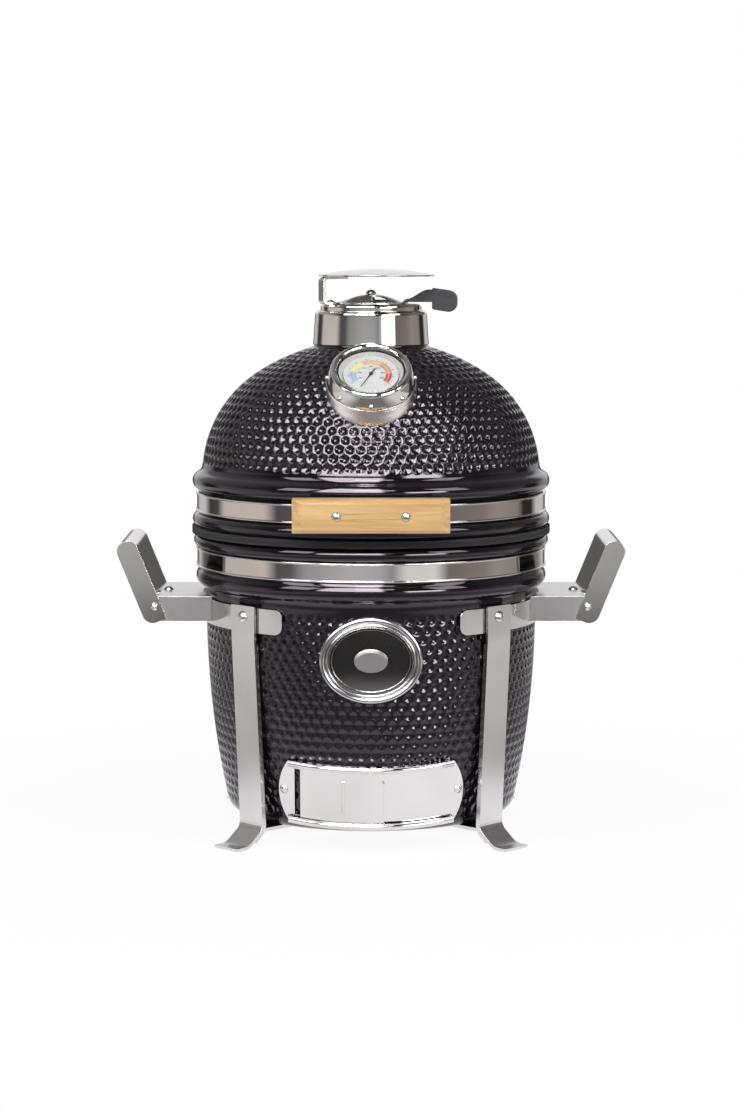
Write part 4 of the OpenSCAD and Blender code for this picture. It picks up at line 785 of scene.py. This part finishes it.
def sector(name, inner, outer, start, end, low, high, look):
    """A flat piece of a ring on the dial, from one angle to another."""
    count = max(1, round(abs(end - start) / SECTOR_STEP))
    points, faces = [], []
    for i in range(count + 1):
        turn = math.radians(start + (end - start) * i / count)
        for radius, height in ((inner, low), (outer, low), (outer, high), (inner, high)):
            points.append(on_dial(radius * math.sin(turn) * MM, radius * math.cos(turn) * MM, height * MM))
    for i in range(count):
        a, b = 4 * i, 4 * i + 4
        for k in range(4):
            n = (k + 1) % 4
            faces.append((a + k, a + n, b + n, b + k))
    faces.append((3, 2, 1, 0))
    faces.append(tuple(4 * count + k for k in range(4)))
    build(name, points, faces, look, "lid")


def figure(text, turn, look):
    """A number on the dial, upright, with its middle on the ring of figures."""
    curve = bpy.data.curves.new("figure_" + text, "FONT")
    curve.body = text
    curve.size = FIGURE_SIZE * MM
    curve.align_x = "CENTER"
    curve.align_y = "CENTER"
    curve.extrude = FIGURE_HIGH * MM
    shape = bpy.data.objects.new("figure", curve)
    scene.collection.objects.link(shape)
    bpy.context.view_layer.update()
    mesh = bpy.data.meshes.new_from_object(shape.evaluated_get(bpy.context.evaluated_depsgraph_get()))
    bpy.data.objects.remove(shape)
    angle = math.radians(turn)
    place = on_dial(FIGURE_R * math.sin(angle) * MM, FIGURE_R * math.cos(angle) * MM, FIGURE_HIGH * MM)
    facing = Matrix(((1, 0, 0, 0), (0, UP.y, AXIS.y, 0), (0, UP.z, AXIS.z, 0), (0, 0, 0, 1)))
    made = bpy.data.objects.new("dial_figure_" + text, mesh)
    made.matrix_world = Matrix.Translation(place) @ facing
    scene.collection.objects.link(made)
    dress(made, look, "lid")


for ink, start, end, dark, light in INKS:
    look = tinted("ink_" + ink, dark, light, INK_ROUGH)
    sector("dial_" + ink, INK_IN, INK_OUT, start + INK_GAP, end - INK_GAP, PRINT_LOW, INK_HIGH, look)
ink_grey = tinted("ink_grey", (0.02, 0.02, 0.025), (0.05, 0.05, 0.06), INK_ROUGH)
for i in range(TICKS):
    turn = PRINT_START + i * (PRINT_END - PRINT_START) / (TICKS - 1)
    outer, half = LONG_TICK if i % 3 == 0 else SHORT_TICK
    sector(f"dial_tick_{i}", TICK_IN, outer, turn - half, turn + half, PRINT_LOW, TICK_HIGH, ink_grey)
sector("dial_line", LINE_IN, LINE_OUT, LINE_START, LINE_END, LINE_LOW, LINE_HIGH, finish["dial_face"])
for i in range(FIGURES):
    figure(str(FIGURE_STEP * (i + 1)), FIGURE_START + i * FIGURE_SPAN / (FIGURES - 1), ink_grey)


# Studio: soft lamps, a white floor and surround, and a striped room that only glossy faces show
LAMPS = (
    ("lamp_left", (-1.9, -1.5, 1.9), (1.0, 1.4), 25),
    ("lamp_right", (1.9, -1.3, 1.9), (1.0, 1.4), 21),
    ("lamp_front", (0.1, -2.4, 2.2), (1.2, 0.7), 18),
)
WHITE = (1, 1, 1, 1)
SOFT_LIGHT = 0.4
BOX_LIGHT, BOX_COLOUR = 15.0, (1, 0.99, 0.98, 1)
LEFT_BOX = ((0.27, 0.9), (-0.62, 0.14))
RIGHT_BOX = ((0.1, 0.32), (0.4, 0.85))
BOX_SOFT_HEIGHT, BOX_SOFT_TURN = 0.03, 0.04
BACK_WALL, LOW_CEILING = (0.95, 0.94, 0.97), (0.05, 0.048, 0.052)
REAR_LEFT, REAR_RIGHT = (0.42, 0.41, 0.42), (0.2, 0.195, 0.2)
FLOOR_R = 1.9
FLOOR_GREY = (0.93, 0.93, 0.93, 1)
NEAR_WHITE = 0.93
FLOOR_MIDDLE, FLOOR_SIDES = (0.24, 0.23, 0.24), (0.9, 0.88, 0.88)
FLOOR_UNDER, FLOOR_AHEAD = (1.2, 1.18, 1.23), (0.03, 0.03, 0.03)
DARK_SPOT = (0, -1.45, 0)
STRIPES = (
    (-180, (0.1, 0.095, 0.095)), (-164, (0.13, 0.125, 0.12)), (-156, (0.66, 0.65, 0.65)),
    (-142, (0.7, 0.69, 0.68)), (-132, (0.06, 0.055, 0.055)), (-120, (0.09, 0.08, 0.08)),
    (-112, (0.72, 0.66, 0.62)), (-74, (0.8, 0.73, 0.68)), (-64, (0.12, 0.11, 0.12)),
    (-54, (0.13, 0.12, 0.13)), (-44, (0.42, 0.41, 0.43)), (-14, (0.6, 0.59, 0.61)),
    (6, (0.58, 0.57, 0.6)), (14, (0.4, 0.39, 0.42)), (23, (0.95, 0.94, 0.94)), (42, (1.0, 0.98, 0.96)),
    (52, (0.24, 0.21, 0.2)), (78, (0.3, 0.26, 0.235)), (90, (0.42, 0.37, 0.34)), (112, (0.36, 0.32, 0.3)),
    (119, (0.03, 0.03, 0.03)), (131, (0.04, 0.04, 0.04)), (140, (0.72, 0.71, 0.7)),
    (156, (0.66, 0.65, 0.65)), (164, (0.13, 0.125, 0.12)), (180, (0.1, 0.095, 0.095)),
)


def placed(name, data, place, target):
    """A lamp or a camera that looks at a target."""
    made = bpy.data.objects.new(name, data)
    made.location = place
    made.rotation_mode = "QUATERNION"
    made.rotation_quaternion = (Vector(target) - Vector(place)).to_track_quat("-Z", "Y")
    scene.collection.objects.link(made)
    return made


def make_lamp(name, place, size, power):
    data = bpy.data.lights.new(name, "AREA")
    data.energy = power
    data.shape = "RECTANGLE"
    data.size, data.size_y = size
    placed(name, data, place, MIDDLE)


def striped(tree, share):
    """The room's upright stripes, as the colours at angles round it from the front."""
    made = add(tree, "ValToRGB", {}, {0: share})
    ramp = made.color_ramp
    while len(ramp.elements) < len(STRIPES):
        ramp.elements.new(0.5)
    for element, (angle, _) in zip(ramp.elements, STRIPES):
        element.position = (angle + 180) / 360
    for element, (_, colour) in zip(ramp.elements, STRIPES):
        element.color = (*colour, 1)
    return made.outputs[0]


def light_box(tree, height, turn, heights, turns):
    """One inside a range of heights and a range of turns, given in radians, and zero outside."""
    upright = band(tree, height, *heights, BOX_SOFT_HEIGHT)
    return worked(tree, "MULTIPLY", upright, band(tree, turn, *turns, BOX_SOFT_TURN))


def make_room(tree):
    """Stripes, a ceiling that is dark in front, a light back wall and two light boxes."""
    x, y, height = add(tree, "SeparateXYZ", {}, {0: add(tree, "TexCoord").outputs["Generated"]}).outputs
    turn = worked(tree, "ARCTAN2", x, worked(tree, "MULTIPLY", y, -1.0))
    stripes = striped(tree, between(tree, turn, 0, 1, -math.pi, math.pi))
    boxes = worked(tree, "MAXIMUM", light_box(tree, height, turn, *LEFT_BOX),
                   light_box(tree, height, turn, *RIGHT_BOX))
    rear = blend(tree, between(tree, x, 0, 1, -0.2, 0.5), REAR_LEFT, REAR_RIGHT)
    behind = blend(tree, between(tree, y, 0, 1, 0.8, 0.9), rear, BACK_WALL)
    above = blend(tree, between(tree, y, 0, 1, -0.25, 0.25), LOW_CEILING, behind)
    ceiling = blend(tree, band(tree, height, 0.16, 2, 0.1), stripes, above)
    wall = worked(tree, "MULTIPLY", between(tree, y, 0, 1, 0.85, 0.93),
                  between(tree, height, 0, 1, 0.02, 0.06))
    room = add(tree, "Background", {}, {0: blend(tree, wall, ceiling, BACK_WALL), 1: 1.0})
    lit = add(tree, "Background", {}, {0: BOX_COLOUR, 1: BOX_LIGHT})
    return mixed(tree, boxes, room, lit)


def make_surround():
    """Plain soft light for the object, white for the camera, and the room for glossy faces."""
    world = bpy.data.worlds.new("studio")
    scene.world = world
    world.use_nodes = True
    tree = world.node_tree
    plain = tree.nodes["Background"]
    plain.inputs[0].default_value = WHITE
    plain.inputs[1].default_value = SOFT_LIGHT
    white = add(tree, "Background", {}, {0: WHITE, 1: 1.0})
    glossy, direct = ray_kinds(tree)
    shown = mixed(tree, direct, mixed(tree, glossy, plain, make_room(tree)), white)
    tree.links.new(shown.outputs[0], tree.nodes["World Output"].inputs["Surface"])


def make_floor():
    """A white floor that keeps the shadow. Glossy faces show it in their own levels."""
    ring = []
    for degrees in range(0, 360, 5):
        angle = math.radians(degrees)
        ring.append((FLOOR_R * math.cos(angle), FLOOR_R * math.sin(angle), 0))
    floor = mesh_object("floor", ring, [tuple(range(len(ring)))])
    floor.location.z = cad_box[0].z
    look, tree, shader = material("floor", Base_Color=FLOOR_GREY, Roughness=0.9, Specular_IOR_Level=0.0)
    place = add(tree, "TexCoord").outputs["Object"]
    reach = worked_vectors(tree, "LENGTH", place, (0, 0, 0), "Value")
    aside = worked(tree, "ABSOLUTE", add(tree, "SeparateXYZ", {}, {0: place}).outputs[0])
    ahead = worked_vectors(tree, "DISTANCE", place, DARK_SPOT, "Value")
    level = blend(tree, between(tree, aside, 0, 1, 0.3, 0.7), FLOOR_MIDDLE, FLOOR_SIDES)
    level = blend(tree, between(tree, reach, 1, 0, 0.3, 0.42), level, FLOOR_UNDER)
    level = blend(tree, between(tree, ahead, 1, 0, 0.25, 0.4), level, FLOOR_AHEAD)
    mirrored = add(tree, "Emission", {}, {0: level, 1: 1.0})
    glow = add(tree, "Emission", {}, {0: WHITE, 1: 1.0})
    glossy, direct = ray_kinds(tree)
    fade = between(tree, reach, NEAR_WHITE, 1.0, 0.2, 0.75, "SMOOTHSTEP")
    shown = mixed(tree, worked(tree, "MULTIPLY", direct, fade), mixed(tree, glossy, shader, mirrored), glow)
    tree.links.new(shown.outputs[0], tree.nodes["Material Output"].inputs["Surface"])
    floor.data.materials.append(look)


for lamp in LAMPS:
    make_lamp(*lamp)
make_surround()
make_floor()

# Camera at the photograph's angle: its focal length and shift are in pixels of the frame's height
FRAME_H, FOCAL, SHIFT, SENSOR_H = 1108, 2868.7, -1.5, 36
EYE, AIM = (0, -2.600, 0.531), (0, 0, 0.2483)
lens = bpy.data.cameras.new("camera")
lens.sensor_fit = "VERTICAL"
lens.sensor_height = SENSOR_H
lens.lens = FOCAL * SENSOR_H / FRAME_H
lens.shift_x = SHIFT / FRAME_H
lens.clip_start, lens.clip_end = 0.05, 50
scene.camera = placed("camera", lens, EYE, AIM)
scene.view_settings.view_transform = "Standard"
